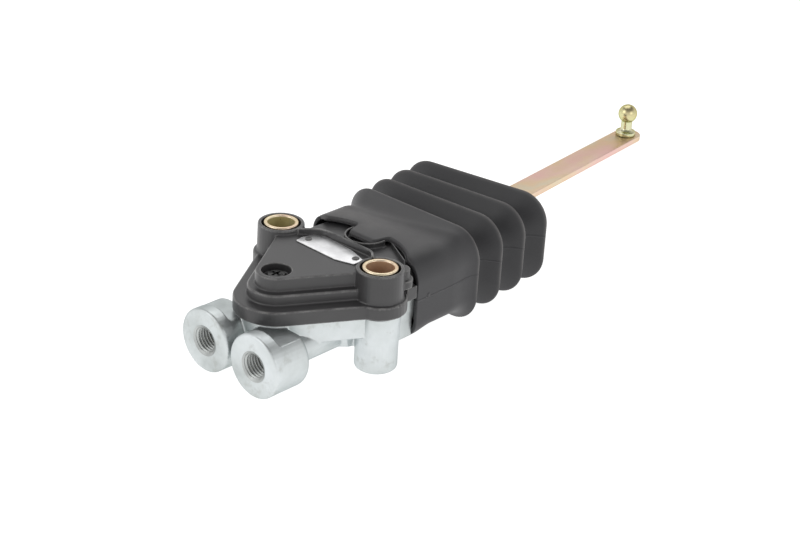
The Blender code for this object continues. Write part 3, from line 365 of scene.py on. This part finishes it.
castLook = {
    "clouds": [(0.30, (0.44, 0.47, 0.465)), (0.50, (0.60, 0.635, 0.635)), (0.72, (0.70, 0.735, 0.745))],
    "stain": (0.36, 0.37, 0.34),
    "stainShare": 0.35,
    "roughness": (0.28, 0.48),
    "rim": (0.50, 0.54, 0.54),      # darker where it turns away
    "waves": 0.2 * mm,
    "pits": 0.06 * mm,
}


# Bright zinc-plated die casting: pale, faintly blue, mottled, with fine pits.
def castMaterial():
    p = castLook
    n = Nodes("zinc_plated_casting", (0.72, 0.755, 0.765), 0.34, 0.85)
    large = n.noise(45, 4, 0.55)
    small = n.noise(420, 3, 0.6)
    zinc = n.ramp(large, p["clouds"])
    stain = n.span(n.noise(150, 4, 0.65), 0.58, 0.70, 0.0, p["stainShare"])
    n.set("Base Color", n.mix(stain, zinc, p["stain"]))
    n.set("Roughness", n.span(n.maths(large, small, "MULTIPLY"), 0.1, 0.4, *p["roughness"]))
    n.bump(n.noise(160, 4, 0.6), p["waves"], 0.35)
    n.bump(small, p["pits"], 0.5)
    n.shader.inputs["Specular Tint"].default_value = (*p["rim"], 1)
    return n.material


plasticLook = {
    "clouds": [(0.3, (0.034, 0.033, 0.034)), (0.7, (0.052, 0.051, 0.052))],
    # paler colour of convex edges: wear together with a painted highlight
    "rubbedAndHighlight": (0.24, 0.235, 0.23),
    "rubbedAndHighlightShare": (0.25, 0.9),
    "roughness": (0.28, 0.42),
    "grain": 0.03 * mm,
    "sinkMarks": 0.2 * mm,
}


# Satin black moulded plastic with a fine grain, slight sink marks and paler convex edges, partly worn and
# partly a painted highlight.
def plasticMaterial():
    p = plasticLook
    n = Nodes("moulded_black_plastic", (0.028, 0.027, 0.028), 0.36, 0.0, **{"Specular IOR Level": 0.6})
    cloud = n.noise(38, 3, 0.5)
    grain = n.noise(1500, 2, 0.5)
    black = n.ramp(cloud, p["clouds"])
    wearAndHighlight = n.node("Attribute", attribute_name="wearAndHighlight").outputs["Fac"]
    # convex edges get paler: part wear, part painted highlight
    rubbedAndHighlight = n.maths(wearAndHighlight, n.span(n.noise(220, 4, 0.6), 0.35, 0.65, *p["rubbedAndHighlightShare"]), "MULTIPLY")
    n.set("Base Color", n.mix(rubbedAndHighlight, black, p["rubbedAndHighlight"]))
    n.set("Roughness", n.span(cloud, 0.3, 0.7, *p["roughness"]))
    n.bump(grain, p["grain"], 0.4)
    n.bump(n.noise(60, 2, 0.5), p["sinkMarks"], 0.15)
    return n.material


rubberLook = {
    "clouds": [(0.3, (0.026, 0.026, 0.028)), (0.7, (0.046, 0.045, 0.048))],
    # colour of the pale marks: dust together with painted sheen and highlight
    "dustAndSheen": (0.165, 0.158, 0.155),
    "dustAndSheenShare": (0.55, 1.0),
    "roughness": (0.44, 0.60),
    "grain": 0.04 * mm,
    "mouldClouds": 0.4 * mm,
    "mouldLine": (0.3 * mm, 0.9 * mm),      # the line's ridge is full within the first and ends at the second
    "mouldLineHeight": 0.35 * mm,
    "mouldLineWave": 0.6 * mm,
    "nub": (0.5 * mm, 1.3 * mm),
    "nubHeight": 0.6 * mm,
}


# Matte black rubber with fine grain, faint mould clouds and pale marks that are partly dust and partly
# painted sheen and highlight.
def rubberMaterial():
    p = rubberLook
    n = Nodes("bellows_rubber", (0.035, 0.035, 0.037), 0.55, 0.0)
    cloud = n.noise(26, 4, 0.6)
    grain = n.noise(1100, 3, 0.6)
    black = n.ramp(cloud, p["clouds"])
    wearAndHighlight = n.node("Attribute", attribute_name="wearAndHighlight").outputs["Fac"]
    # pale marks: dust together with a painted sheen on the neck's top and painted highlights on the crests
    dustAndSheenMask = n.maths(wearAndHighlight, n.span(n.noise(90, 4, 0.6), 0.3, 0.7, *p["dustAndSheenShare"]), "MULTIPLY")
    n.set("Base Color", n.mix(dustAndSheenMask, black, p["dustAndSheen"]))
    n.set("Roughness", n.span(cloud, 0.3, 0.7, *p["roughness"]))
    n.bump(grain, p["grain"], 0.5)
    n.bump(cloud, p["mouldClouds"], 0.2)
    # a mould line runs round the sides at half height: a ridge where |z - line| is small
    place = n.node("SeparateXYZ", {0: n.place})
    above = n.node("Math", {0: n.maths(place.outputs["Z"], bellowsSizes["partingZ"], "SUBTRACT")},
                   operation="ABSOLUTE").outputs[0]
    wave = n.maths(n.noise(160, 2, 0.5), p["mouldLineWave"], "MULTIPLY")
    n.bump(n.span(n.maths(above, wave), *p["mouldLine"], 1.0, 0.0), p["mouldLineHeight"], 0.8)
    nub = n.node("VectorMath", {0: n.place, 1: bellowsSizes["nub"]}, operation="DISTANCE").outputs["Value"]
    n.bump(n.span(nub, *p["nub"], 1.0, 0.0), p["nubHeight"], 0.9)
    return n.material


metalLook = {
    "patches": (0.34, 0.46, 0.56, 0.68),    # where in the noise each chromate tone is full
    "stretch": (1.0, 0.45, 1.0),            # patches run along Y
    "rim": 0.72,                            # edges that turn away stay coloured by this share
    "dark": 0.8,                            # darkest tone of a plain metal, as a share
    "grain": 0.02 * mm,
    "grainStrength": 0.3,
}


# Yellow-chromated zinc: colour drifts between pink, straw and pale green in soft patches.
def chromateMaterial(name, tones, roughness, metallic=1.0):
    p = metalLook
    n = Nodes(name, tones[1], roughness, metallic)
    patch = n.noise(55, 3, 0.55, p["stretch"])
    n.set("Base Color", n.ramp(patch, list(zip(p["patches"], tones))))
    n.set("Roughness", n.span(n.noise(240, 3, 0.6), 0.3, 0.7, roughness - 0.05, roughness + 0.10))
    n.bump(n.noise(700, 2, 0.5), p["grain"], p["grainStrength"])
    n.shader.inputs["Specular Tint"].default_value = (*(p["rim"] * tone for tone in tones[1]), 1)
    return n.material


# Plain turned or ground metal with slight tone changes.
def steelMaterial(name, colour, roughness):
    p = metalLook
    n = Nodes(name, colour, roughness, 1.0)
    tone = n.noise(200, 3, 0.5)
    dark = tuple(p["dark"] * c for c in colour)
    n.set("Base Color", n.mix(n.span(tone, 0.35, 0.65, 0, 1), dark, colour))
    n.bump(n.noise(900, 2, 0.5), p["grain"], p["grainStrength"])
    return n.material


cast = castMaterial()
machined = steelMaterial("machined_zinc", (0.50, 0.52, 0.51), 0.42)
plastic = plasticMaterial()
rubber = rubberMaterial()
leverFinish = chromateMaterial("yellow_chromate_lever", [(0.84, 0.59, 0.55), (0.82, 0.63, 0.54),
                                                        (0.80, 0.65, 0.47), (0.72, 0.69, 0.56)], 0.34)
studFinish = chromateMaterial("yellow_zinc_stud", [(0.60, 0.50, 0.30), (0.66, 0.62, 0.34),
                                                  (0.62, 0.64, 0.38), (0.70, 0.66, 0.48)], 0.24)
sleeveFinish = chromateMaterial("yellow_zinc_sleeve", [(0.70, 0.52, 0.40), (0.86, 0.72, 0.54),
                                                      (0.88, 0.78, 0.56), (0.90, 0.84, 0.66)], 0.26)
# the bores look duller than the rims, olive in the left one and copper in the right one
oliveBore = chromateMaterial("yellow_zinc_bore_left", [(0.50, 0.42, 0.20), (0.58, 0.51, 0.27),
                                                      (0.60, 0.54, 0.30), (0.54, 0.48, 0.24)], 0.30, 0.45)
copperBore = chromateMaterial("yellow_zinc_bore_right", [(0.54, 0.33, 0.21), (0.62, 0.42, 0.28),
                                                        (0.62, 0.46, 0.31), (0.56, 0.42, 0.26)], 0.30, 0.45)
labelFinish = steelMaterial("label_silver", (0.90, 0.90, 0.91), 0.35)
finishes = {
    "gasket": steelMaterial("gasket_sheet", (0.04, 0.04, 0.04), 0.8),
    "black_screw": steelMaterial("black_steel_screw", (0.06, 0.06, 0.06), 0.35),
    "rocker_steel": steelMaterial("sintered_steel", (0.36, 0.36, 0.37), 0.5),
    "rivet_steel": steelMaterial("rivet_steel", (0.62, 0.60, 0.55), 0.35),
    "ground_steel": steelMaterial("ground_steel", (0.55, 0.55, 0.56), 0.2),
    "bronze": steelMaterial("sintered_bronze", (0.62, 0.42, 0.20), 0.3),
    "spring_steel": steelMaterial("spring_steel", (0.20, 0.20, 0.21), 0.35),
    "brass_seat": steelMaterial("turned_brass", (0.75, 0.58, 0.28), 0.25),
    "o_ring_rubber": rubber,
    "tappet_steel": steelMaterial("hardened_steel", (0.50, 0.50, 0.51), 0.25),
    "spring_wire": steelMaterial("spring_wire", (0.45, 0.45, 0.46), 0.3),
    "zinc_casting": cast,
    "black_plastic": plastic,
    "bellows_rubber": rubber,
    "lever_chromate": leverFinish,
    "stud_zinc": studFinish,
    "yellow_zinc": sleeveFinish,
    "label_silver": labelFinish,
}
slotOf = {entry["node"]: entry["material_slot"] for entry in frame["record"]["subparts"]}
for name, node in nodes.items():
    node.data.materials.clear()
    node.data.materials.append(finishes[slotOf[name]])
print("materials ready")


lever = {
    "restAngle": radians(6.0),
    "pivotY": 15 * mm,
    "reach": 239.7 * mm,    # from the pivot to the ball
    "halfWidth": 7 * mm,
    "overhang": 2 * mm,
    "low": 13 * mm,
    "top": 16 * mm,
    "edge": 0.35 * mm,
    "steps": 40,
}


# Half-width, low, top and corners of the bellows' section at distances from the pivot. The neck
# keeps the mouth's size and flares as t^flarePower, and its top sinks by a bell curve. Between
# crests the skin goes in by depth ((sin^2 + e^2)^v - e^2v) / ((1 + e^2)^v - e^2v), where v is
# valleyPower, so crests are narrow and valleys wide. The end closes from the last crest to the
# cuff by (1 - bulge) t^endPower + bulge t^3.
def bellowsSection(s):
    b = bellowsSizes
    mouth, crest, cuff = (np.array(b[k])[:, None] for k in ("mouth", "crest", "cuff"))
    last = b["firstCrest"] + (b["folds"] - 1) * b["pitch"]
    flare = np.clip((s - b["straight"]) / (b["firstCrest"] - b["straight"]), 0, 1)
    size = mouth + (crest - mouth) * flare ** b["flarePower"]
    size[2] -= b["neckSink"] * np.exp(-((s - b["sinkAt"]) / b["sinkLength"]) ** 2) * (s < b["firstCrest"])
    wave = np.sin(pi * (s - b["firstCrest"]) / b["pitch"])
    e, v = b["crestRound"], b["valleyPower"]
    least = e ** (2 * v)
    inward = b["depth"] * ((wave ** 2 + e ** 2) ** v - least) / ((1 + e ** 2) ** v - least)
    corner = -b["valleyCorner"]
    folded = crest + np.array([-1, 1, -1, corner, corner, corner, corner])[:, None] * inward
    size = np.where((s > b["firstCrest"]) & (s <= last), folded, size)
    t = np.clip((s - last) / (b["cuffStart"] - last), 0, 1)
    bulge = b["endBulge"]
    closing = crest + (cuff - crest) * ((1 - bulge) * t ** b["endPower"] + bulge * t ** 3)
    return np.where(s > last, closing, size)


# Rounded rectangle for each section: the corner's arc is centre + r (cos a, sin a), and the sides
# are even steps between two arcs. Gives x and z as sections by points.
def ringPoints(size, inset):
    n = bellowsSteps
    half, low, top = size[0] - inset, size[1] + inset, size[2] - inset
    corners = np.maximum(np.minimum(size[3:] - inset, (top - low) * 0.49), 0.3 * mm)
    # for each arc: its corner, where it starts in half turns, and the steps of the side after it
    sides = [(1, 1, 0.0, n["top"]), (-1, 1, 0.5, n["side"]),
             (-1, -1, 1.0, n["bottom"]), (1, -1, 1.5, n["side"])]
    arcs = []
    for corner, (sx, sz, start, _) in zip(corners, sides):
        a = pi * (start + np.linspace(0, 0.5, n["corner"]))
        cx = sx * (half - corner)
        cz = np.where(sz > 0, top - corner, low + corner)
        arcs.append((cx[:, None] + corner[:, None] * np.cos(a), cz[:, None] + corner[:, None] * np.sin(a)))
    xs, zs = [], []
    for k, (x, z) in enumerate(arcs):
        nx, nz = arcs[(k + 1) % 4]
        t = np.linspace(0, 1, sides[k][3] + 1)[1:-1]
        xs += [x, x[:, -1:] + (nx[:, :1] - x[:, -1:]) * t]
        zs += [z, z[:, -1:] + (nz[:, :1] - z[:, -1:]) * t]
    return np.hstack(xs), np.hstack(zs)


# How far back the mouth's edge lies at points of the top side: a round tongue
# y = yc - sqrt(r^2 - (x-xc)^2) between two cut-outs that fall away as 1 - t^2. On every side the
# left edge lies further back, in a straight slope.
def mouthCut(x, z, size):
    b = bellowsSizes
    reach = np.abs(x - b["tongueX"])
    tongue = b["tongueY"] - np.sqrt(np.maximum(b["tongueRadius"] ** 2 - reach ** 2, 0))
    beside = np.clip((reach - b["tongueRadius"]) / (b["cutInner"] - b["tongueRadius"]), 0, 1)
    outer = np.clip((reach - b["cutInner"]) / (b["cutOuter"] - b["cutInner"]), 0, 1)
    # a quarter round joins the tongue's side to the cut-out: r - sqrt(r^2 - (r-d)^2)
    r = b["cutRound"]
    near = np.clip(r - (reach - b["cutInner"]), 0, r)
    fillet = r - np.sqrt(r ** 2 - near ** 2)
    edge = np.where(reach < b["tongueRadius"], tongue, b["tongueY"] + beside * (b["cutY"] - r - b["tongueY"]))
    curve = b["mouthY"] + (1 - outer ** 2) * (b["cutY"] - b["mouthY"]) - fillet
    edge = np.where(reach > b["cutInner"], curve, edge)
    onTop = z > size[2][:, None] - b["topCorner"] * size[3][:, None]
    left = b["leftBack"] * np.clip((-x - b["leftStart"]) / b["leftLength"], 0, 1)
    return np.maximum(np.where(onTop, edge - b["mouthY"], 0.0), left)


# Places section points along the bellows: straight out of the housing, then the middle comes over
# to the lever's line as a smooth step t^2 (3 - 2t), and the folds turn further one by one.
def alongBellows(x, s, z):
    b = bellowsSizes
    rest = lever["restAngle"]
    last = b["firstCrest"] + (b["folds"] - 1) * b["pitch"]
    t = np.clip((s - b["straight"]) / (b["firstCrest"] - b["straight"]), 0, 1)
    shift = s * tan(rest) * t * t * (3 - 2 * t)
    turn = b["turn"] * np.clip((s - b["firstCrest"]) / (last - b["firstCrest"]), 0, 1)
    turn = turn + (1 - b["turn"]) * np.clip((s - last) / (b["cuffStart"] - last), 0, 1)
    a = rest * turn
    return np.stack([x * np.cos(a) - shift, lever["pivotY"] + s + x * np.sin(a), z], -1)


# Distances from the pivot at which the bellows has a section, closer together at the mouth and
# where the end starts to close, as t^crowd, and at each crest, as t - crowd sin(2 pi t) / 2 pi.
def bellowsRows(mouth):
    b, n = bellowsSizes, bellowsSteps
    neck = mouth + (b["straight"] - mouth) * np.linspace(0, 1, n["neck"]) ** n["crowdNeck"]
    flare = np.linspace(b["straight"], b["firstCrest"], n["flare"])[1:]
    fold = np.linspace(0, 1, n["fold"])[1:]
    fold = fold - n["crowdFold"] * np.sin(2 * pi * fold) / (2 * pi)
    folds = np.concatenate([b["firstCrest"] + (k + fold) * b["pitch"] for k in range(b["folds"] - 1)])
    last = b["firstCrest"] + (b["folds"] - 1) * b["pitch"]
    close = last + (b["cuffStart"] - last) * np.linspace(0, 1, n["end"])[1:] ** n["crowdEnd"]
    cuff = np.linspace(b["cuffStart"], b["cuffStart"] + b["cuffLength"], n["cuff"])[1:]
    return np.concatenate([neck, flare, folds, close, cuff])


# Rubber bellows: an outer skin, a rounded lip round the mouth, an inner skin and the cuff's lip,
# all as one closed grid of sections by points round them.
def makeBellows():
    b, n, dustAndSheen = bellowsSizes, bellowsSteps, bellowsDustAndSheen
    mouth = b["mouthY"] - lever["pivotY"]
    s = bellowsRows(mouth)
    size = bellowsSection(s)
    fade = np.clip(1 - (s - mouth) / b["fadeLength"], 0, 1) ** b["fadePower"]
    # the mouth's edge rolls in as a quarter round: r - sqrt(r^2 - (r-d)^2)
    roll = np.clip(b["lipRound"] - (s - mouth), 0, b["lipRound"])
    drop = b["lipRound"] - np.sqrt(b["lipRound"] ** 2 - roll ** 2)
    outerX, outerZ = ringPoints(size, 0.0)
    cut = mouthCut(outerX, outerZ, size) * fade[:, None]
    # a soft slanting ridge runs across the neck's top, as where the rubber gives way to the lever
    ridge = np.exp(-((s[:, None] - b["ridgeAt"] - b["ridgeSlant"] * outerX) / b["ridgeWidth"]) ** 2)
    across = np.clip((outerZ - b["ridgeLow"]) / b["ridgeBlend"], 0, 1)
    # the lower rim stands lower at the mouth and comes back as a smooth step t^2 (3 - 2t)
    t = np.clip((s[:, None] - mouth) / b["footEnd"], 0, 1)
    foot = b["foot"] * (1 - t * t * (3 - 2 * t)) * np.clip((b["footTop"] - outerZ) / b["footTop"], 0, 1)
    raised = (b["ridge"] * ridge - drop[:, None]) * across - foot
    outerZ = outerZ + raised
    outer = alongBellows(outerX, s[:, None] + cut, outerZ)
    innerX, innerZ = ringPoints(size, b["wall"])
    inner = alongBellows(innerX, s[:, None] + cut, innerZ)

    # half a turn from the outer skin's row k to the inner skin's: inset = wall (1 - cos a) / 2
    def lip(k, sign):
        phase = np.linspace(0, pi, n["lip"] + 2)[1:-1, None]
        inset = b["wall"] * (1 - np.cos(phase[:, 0])) / 2
        rows = np.repeat(size[:, [k]], n["lip"], 1)
        x, z = ringPoints(rows, inset)
        z = z + raised[k] * (1 + np.cos(phase)) / 2
        return alongBellows(x, s[k] + cut[k] + sign * b["lipBulge"] * np.sin(phase), z)

    points = np.vstack([outer, lip(-1, 1), inner[::-1], lip(0, -1)[::-1]])
    rows, columns = points.shape[:2]
    # pale marks, partly dust and partly painted light: a thin painted highlight along each crest, weaker low
    # down, and a painted sheen on the neck's top that fades to the right
    crests = b["firstCrest"] + b["pitch"] * np.arange(b["folds"])
    line = np.exp(-((s[:, None] - crests) / dustAndSheen["line"]) ** 2).max(1)[:, None]
    line = line * np.clip(outerZ / dustAndSheen["lineHeight"], dustAndSheen["lineLeast"], 1)
    away = (s[:, None] - dustAndSheen["patchAt"] - dustAndSheen["patchSlant"] * outerX) / dustAndSheen["patchLength"]
    aside = np.clip(dustAndSheen["patchEdge"] - outerX / dustAndSheen["patchWidth"], 0, 1)
    patch = dustAndSheen["patch"] * across * np.exp(-away ** 2) * aside
    wearAndHighlight = np.zeros((rows, columns))
    wearAndHighlight[:len(s)] = np.maximum(line, patch)
    made = meshPiece("rubberBellows", points, gridFaces(rows, columns, aroundRows=True), rubber, rides=None,
                     sharp=50, replaces=("bellows",), wearAndHighlight=wearAndHighlight)
    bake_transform(made)


ports = {
    "x": 15 * mm,
    "z": 5.5 * mm,
    "faceY": -57.9 * mm,
    "countersink": 6.82 * mm,
    "major": 6.0 * mm,
    "minor": 5.2 * mm,
    "pitch": 1.5 * mm,
    "depth": 12.6 * mm,
    "cone": 1.6,                # how fast the countersink narrows with depth
    "slope": 1.35,              # steepness of the tooth, which the clip at 0 and 1 makes flat
    "cutOff": 0.17,
    "cover": 0.05 * mm,
    "stepsPerTurn": 14,
    "steps": 112,
}


# Thread of a port: r = minor + (major - minor) tooth(y/pitch - a/2pi), where the tooth is a
# triangle wave with flats, and never less than the countersink's cone r = c - cone y at the mouth.
def makeThread(name, side):
    p = ports
    rows = int(p["depth"] / p["pitch"] * p["stepsPerTurn"])
    y = np.linspace(0, p["depth"], rows)[:, None]
    a = np.linspace(0, 2 * pi, p["steps"], endpoint=False)[None, :]
    phase = (y / p["pitch"] - a / (2 * pi)) % 1.0
    tooth = np.clip(np.abs(phase - 0.5) * 2 * p["slope"] - p["cutOff"], 0, 1)
    r = p["minor"] + (p["major"] - p["minor"]) * tooth
    r = np.maximum(r, p["countersink"] - y * p["cone"])
    outer = np.full((2, a.size), p["countersink"] + p["cover"])
    depths = np.vstack([np.broadcast_to(y, r.shape), np.full((1, a.size), p["depth"]), np.zeros((1, a.size))])
    r = np.vstack([r, outer])
    points = np.stack([side * p["x"] + r * np.cos(a), p["faceY"] + depths, p["z"] + r * np.sin(a)], -1)
    meshPiece(name, points, gridFaces(*points.shape[:2], aroundRows=True), machined, sharp=60)


sleeve = {
    "bore": 5.9 * mm,
    "radius": 7.7 * mm,
    "low": 17.6 * mm,
    "top": 38.3 * mm,
    "edge": 0.8 * mm,
    "finishReach": 0.05 * mm,   # faces this close to the bore's radius belong to the bore
    "steps": 128,
}


# Steel sleeve: a ring section turned about the bolt's axis, with rounded ends. Faces in the bore
# get a finish of their own.
def makeSleeve(name, side, node, boreFinish):
    p = sleeve
    middle = (p["bore"], (p["low"] + p["top"]) / 2)
    ring = [middle, (p["bore"], p["top"]), (p["radius"], p["top"]), (p["radius"], p["low"]),
            (p["bore"], p["low"]), middle]
    points, faces = turnedRing(softened(ring, p["edge"]), side * boltX, p["steps"])
    mesh = meshPiece(name, points, faces, sleeveFinish, sharp=60, replaces=(node,)).data
    mesh.materials.append(boreFinish)
    centres = np.empty(len(mesh.polygons) * 3)
    mesh.polygons.foreach_get("center", centres)
    centres = centres.reshape(-1, 3) - (side * boltX, 0, 0)
    inBore = np.hypot(centres[:, 0], centres[:, 1]) < p["bore"] + p["finishReach"]
    mesh.polygons.foreach_set("material_index", inBore.astype(int))


stud = {
    "ballZ": 28.1 * mm,
    "ball": 5.0 * mm,
    "neck": 2.9 * mm,
    "neckFoot": 1.2 * mm,       # height over which the neck runs into the collar
    "collar": 5.3 * mm,
    "collarHeight": 2.5 * mm,
    "collarRim": 0.5 * mm,
    "collarRise": 0.1 * mm,     # the collar's top rises by this much to the neck
    "chamfer": 0.9 * mm,
    "ballFoot": 0.2 * mm,
    "shank": 2.5 * mm,
    "head": 4.0 * mm,
    "headFlat": 0.8,            # share of the head's radius that is flat
    "headHeight": 1.2 * mm,
    "headRim": 0.4 * mm,
    "gap": 0.1 * mm,
    "round": 0.45 * mm,
    "ballSteps": 40,
    "steps": 96,
}


# Ball stud: one profile from the riveted head under the lever up to the ball's pole, turned. The
# ball is r = R cos t, h = z + R sin t; the neck runs into it and into the collar with fillets.
def makeStud():
    p = stud
    low, seat = lever["low"] - p["gap"], lever["top"] + p["gap"]
    top, foot = seat + p["collarHeight"], low - p["headHeight"]
    neckAngle = np.arccos(p["neck"] / p["ball"])
    t = np.linspace(-neckAngle, pi / 2, p["ballSteps"])
    ballR, ballH = p["ball"] * np.cos(t), p["ballZ"] + p["ball"] * np.sin(t)
    base = np.array([(0, foot), (p["head"] * p["headFlat"], foot), (p["head"], low - p["headRim"]),
                     (p["head"], low), (p["shank"], low), (p["shank"], seat), (p["collar"], seat),
                     (p["collar"], top - p["collarRim"]), (p["collar"] - p["chamfer"], top),
                     (p["neck"] + p["chamfer"], top + p["collarRise"]), (p["neck"], top + p["neckFoot"]),
                     (p["neck"], ballH[0] - p["ballFoot"]), (ballR[0], ballH[0])])
    profile = np.vstack([softened(base, p["round"])[:-1], np.stack([ballR, ballH], -1)])
    profile[-1, 0] = 0
    points, faces = turned(profile, (0, lever["reach"], 0), p["steps"])
    meshPiece("ballStud", atLever(points), faces, studFinish, rides=leverBody, sharp=50,
              replaces=("ball_stud",))


# Flat plate with rounded rims: the outline is drawn in by e (1 - cos t) while the height turns
# through e sin t, and both flats shrink to a speck in the middle, which meshPiece closes.
def plate(outline, low, high, edge, steps=4):
    p = np.asarray(outline, float)
    ahead, behind = np.roll(p, -1, 0) - p, p - np.roll(p, 1, 0)
    ahead /= np.linalg.norm(ahead, axis=1, keepdims=True)
    behind /= np.linalg.norm(behind, axis=1, keepdims=True)
    along = ahead + behind
    along /= np.linalg.norm(along, axis=1, keepdims=True)
    inwards = np.stack([-along[:, 1], along[:, 0]], -1) / np.maximum((ahead * along).sum(1), 0.5)[:, None]
    t = np.linspace(0, pi / 2, steps + 1)
    inset = np.concatenate([edge * (1 - np.cos(t[::-1])), edge * (1 - np.cos(t))])
    height = np.concatenate([low + edge * (1 - np.sin(t[::-1])), high - edge * (1 - np.sin(t))])
    rings = p[None] + inwards[None] * inset[:, None, None]
    middle = p.mean(0)
    shrunk = middle + (rings[[0, -1]] - middle) * 1e-6
    rings = np.concatenate([shrunk[:1], rings, shrunk[1:]])
    height = np.concatenate([[low], height, [high]])
    points = np.concatenate([rings, np.broadcast_to(height[:, None, None], rings.shape[:2] + (1,))], -1)
    return points, gridFaces(*points.shape[:2])


# Lever: a strip with two round ends, as two half circles joined by straight sides.
def makeLever():
    p = lever
    a = np.linspace(0, pi, p["steps"])
    far = np.stack([p["halfWidth"] * np.cos(a), p["reach"] + p["overhang"] + p["halfWidth"] * np.sin(a)], -1)
    near = np.stack([-p["halfWidth"] * np.cos(a), -p["halfWidth"] * np.sin(a)], -1)
    points, faces = plate(np.vstack([far, near]), p["low"], p["top"], p["edge"])
    meshPiece("leverStrip", atLever(points), faces, leverFinish, rides=leverBody, sharp=40,
              replaces=("lever",))


label = {
    # corners, from the front left round to the back left
    "corners": [(-14.3 * mm, -6.2 * mm), (9.7 * mm, -6.9 * mm), (18.6 * mm, -4.2 * mm), (18.6 * mm, 1.6 * mm),
                (8.4 * mm, 5.0 * mm), (-6.2 * mm, 6.3 * mm), (-13.2 * mm, 4.2 * mm), (-15.0 * mm, -1.4 * mm)],
    "low": 36.0 * mm,
    "high": 36.5 * mm,
    "edge": 0.1 * mm,
    "corner": 0.8 * mm,
}


# Label: a thin bare plate on its outline, with each corner rounded by a parabola.
def makeLabel():
    p = label
    ring = p["corners"] + p["corners"][:2]
    outline = softened(ring, p["corner"])[1:-1]
    points, faces = plate(outline, p["low"], p["high"], p["edge"])
    meshPiece("labelPlate", points, faces, labelFinish, sharp=40, replaces=("label_plate",))


rib = {
    "start": (10.6 * mm, 28.0 * mm),
    "end": (26.6 * mm, 18.9 * mm),
    "half": 0.3 * mm,
    "low": 31.0 * mm,
    "top": 33.7 * mm,
    "edge": 0.12 * mm,
}


# Thin moulded rib of the cover beside the right cut-out: a strip of even width between two points.
def makeRib():
    p = rib
    start, end = np.array(p["start"]), np.array(p["end"])
    along = (end - start) / np.linalg.norm(end - start)
    across = p["half"] * np.array([-along[1], along[0]])
    outline = [start - across, end - across, end + across, start + across]
    points, faces = plate(outline, p["low"], p["top"], p["edge"])
    meshPiece("coverRib", points, faces, plastic)


post = {
    "radius": 9.4 * mm,
    "stand": 0.30 * mm,
    "sink": 0.5 * mm,           # the skin reaches this far into the casting's post
    "low": 5.0 * mm,
    "top": 17.3 * mm,
    "edge": 0.2 * mm,
    "steps": 128,
}


# Upper part of a bolt post, which stands out by a hair from the lower one: a turned skin with a
# rounded step at its foot.
def makePostSkin(name, side):
    p = post
    out, within = p["radius"] + p["stand"], p["radius"] - p["sink"]
    profile = [(within, p["low"]), (out, p["low"]), (out, p["top"]), (within, p["top"]), (within, p["low"])]
    points, faces = turnedRing(softened(profile, p["edge"]), side * boltX, p["steps"])
    meshPiece(name, points, faces, cast, sharp=50)


makeBellows()
makeThread("threadLeft", -1)
makeThread("threadRight", 1)
makeSleeve("sleeveLeft", -1, "sleeve_left", oliveBore)
makeSleeve("sleeveRight", 1, "sleeve_right", copperBore)
makeStud()
makeLever()
makePostSkin("postSkinLeft", -1)
makePostSkin("postSkinRight", 1)
dressed("castHousing", "valve_housing", cast, voxel=0.42 * mm, relax=2, kept=0.5)
dressed("mouldedCover", "top_cover", plastic, voxel=0.36 * mm, relax=2, kept=0.3)
dressed("coverScrew", "cover_screw", finishes["black_screw"])
makeLabel()
makeRib()
print("pieces ready")


stage = {
    "floor": -9.1 * mm,
    "floorHalf": 6.0,
    "floorGlow": 0.97,
    "eye": (0.462718, -0.479596, 0.352336),
    "eyeTurn": (64.04583, -2.97012, 42.78125),      # degrees about X, Y and Z
    "lens": 77.30,
    "sensor": 36,
    "sky": (0.40, 0.80, 0.95, 0.22),    # between these heights of the sky, the glow falls from and to
    "aim": (0, 0.04, 0),                # where the lights point
    "lights": [                         # name, place, size, power
        ("overhead", (-0.35, 0.45, 0.90), 0.8, 2.5),
        ("front", (-0.45, -0.85, 0.75), 0.7, 2.5),
        ("rightSide", (0.95, 0.10, 0.45), 0.6, 0.8),
    ],
}


# White studio: pale walls under a darker ceiling, three soft lights, and a floor that glows, so that
# it stays plain white without a shadow, as in the picture.
def setStage():
    scene = bpy.context.scene
    scene.view_settings.view_transform = "Standard"
    world = bpy.data.worlds.new("studio")
    scene.world = world
    world.use_nodes = True
    air = world.node_tree
    direction = air.nodes.new("ShaderNodeTexCoord").outputs["Generated"]
    height = air.nodes.new("ShaderNodeSeparateXYZ")
    fade = air.nodes.new("ShaderNodeMapRange")
    for key, value in zip(("From Min", "From Max", "To Min", "To Max"), stage["sky"]):
        fade.inputs[key].default_value = value
    background = air.nodes["Background"]
    background.inputs["Color"].default_value = (1, 1, 1, 1)
    air.links.new(direction, height.inputs[0])
    air.links.new(height.outputs["Z"], fade.inputs["Value"])
    air.links.new(fade.outputs["Result"], background.inputs["Strength"])
    floorMesh = bpy.data.meshes.new("floor")
    half, z = stage["floorHalf"], stage["floor"]
    floorMesh.from_pydata([(-half, -half, z), (half, -half, z), (half, half, z), (-half, half, z)], [],
                          [(0, 1, 2, 3)])
    floor = bpy.data.objects.new("floor", floorMesh)
    scene.collection.objects.link(floor)
    paint = Nodes("pale_floor", (0.30, 0.30, 0.30), 0.9)
    paint.shader.inputs["Emission Color"].default_value = (1, 1, 1, 1)
    paint.shader.inputs["Emission Strength"].default_value = stage["floorGlow"]
    paint.shader.inputs["Specular IOR Level"].default_value = 0.0
    floorMesh.materials.append(paint.material)
    for name, place, size, power in stage["lights"]:
        lamp = bpy.data.lights.new(name, "AREA")
        lamp.shape = "SQUARE"
        lamp.size = size
        lamp.energy = power
        made = bpy.data.objects.new(name, lamp)
        made.location = place
        made.rotation_euler = (Vector(stage["aim"]) - Vector(place)).to_track_quat("-Z", "Y").to_euler()
        scene.collection.objects.link(made)
    camera = bpy.data.cameras.new("camera")
    camera.lens = stage["lens"]
    camera.sensor_width = stage["sensor"]
    camera.clip_start = 0.01
    eye = bpy.data.objects.new("camera", camera)
    eye.location = stage["eye"]
    eye.rotation_euler = [radians(a) for a in stage["eyeTurn"]]
    scene.collection.objects.link(eye)
    scene.camera = eye


setStage()
print("stage ready")
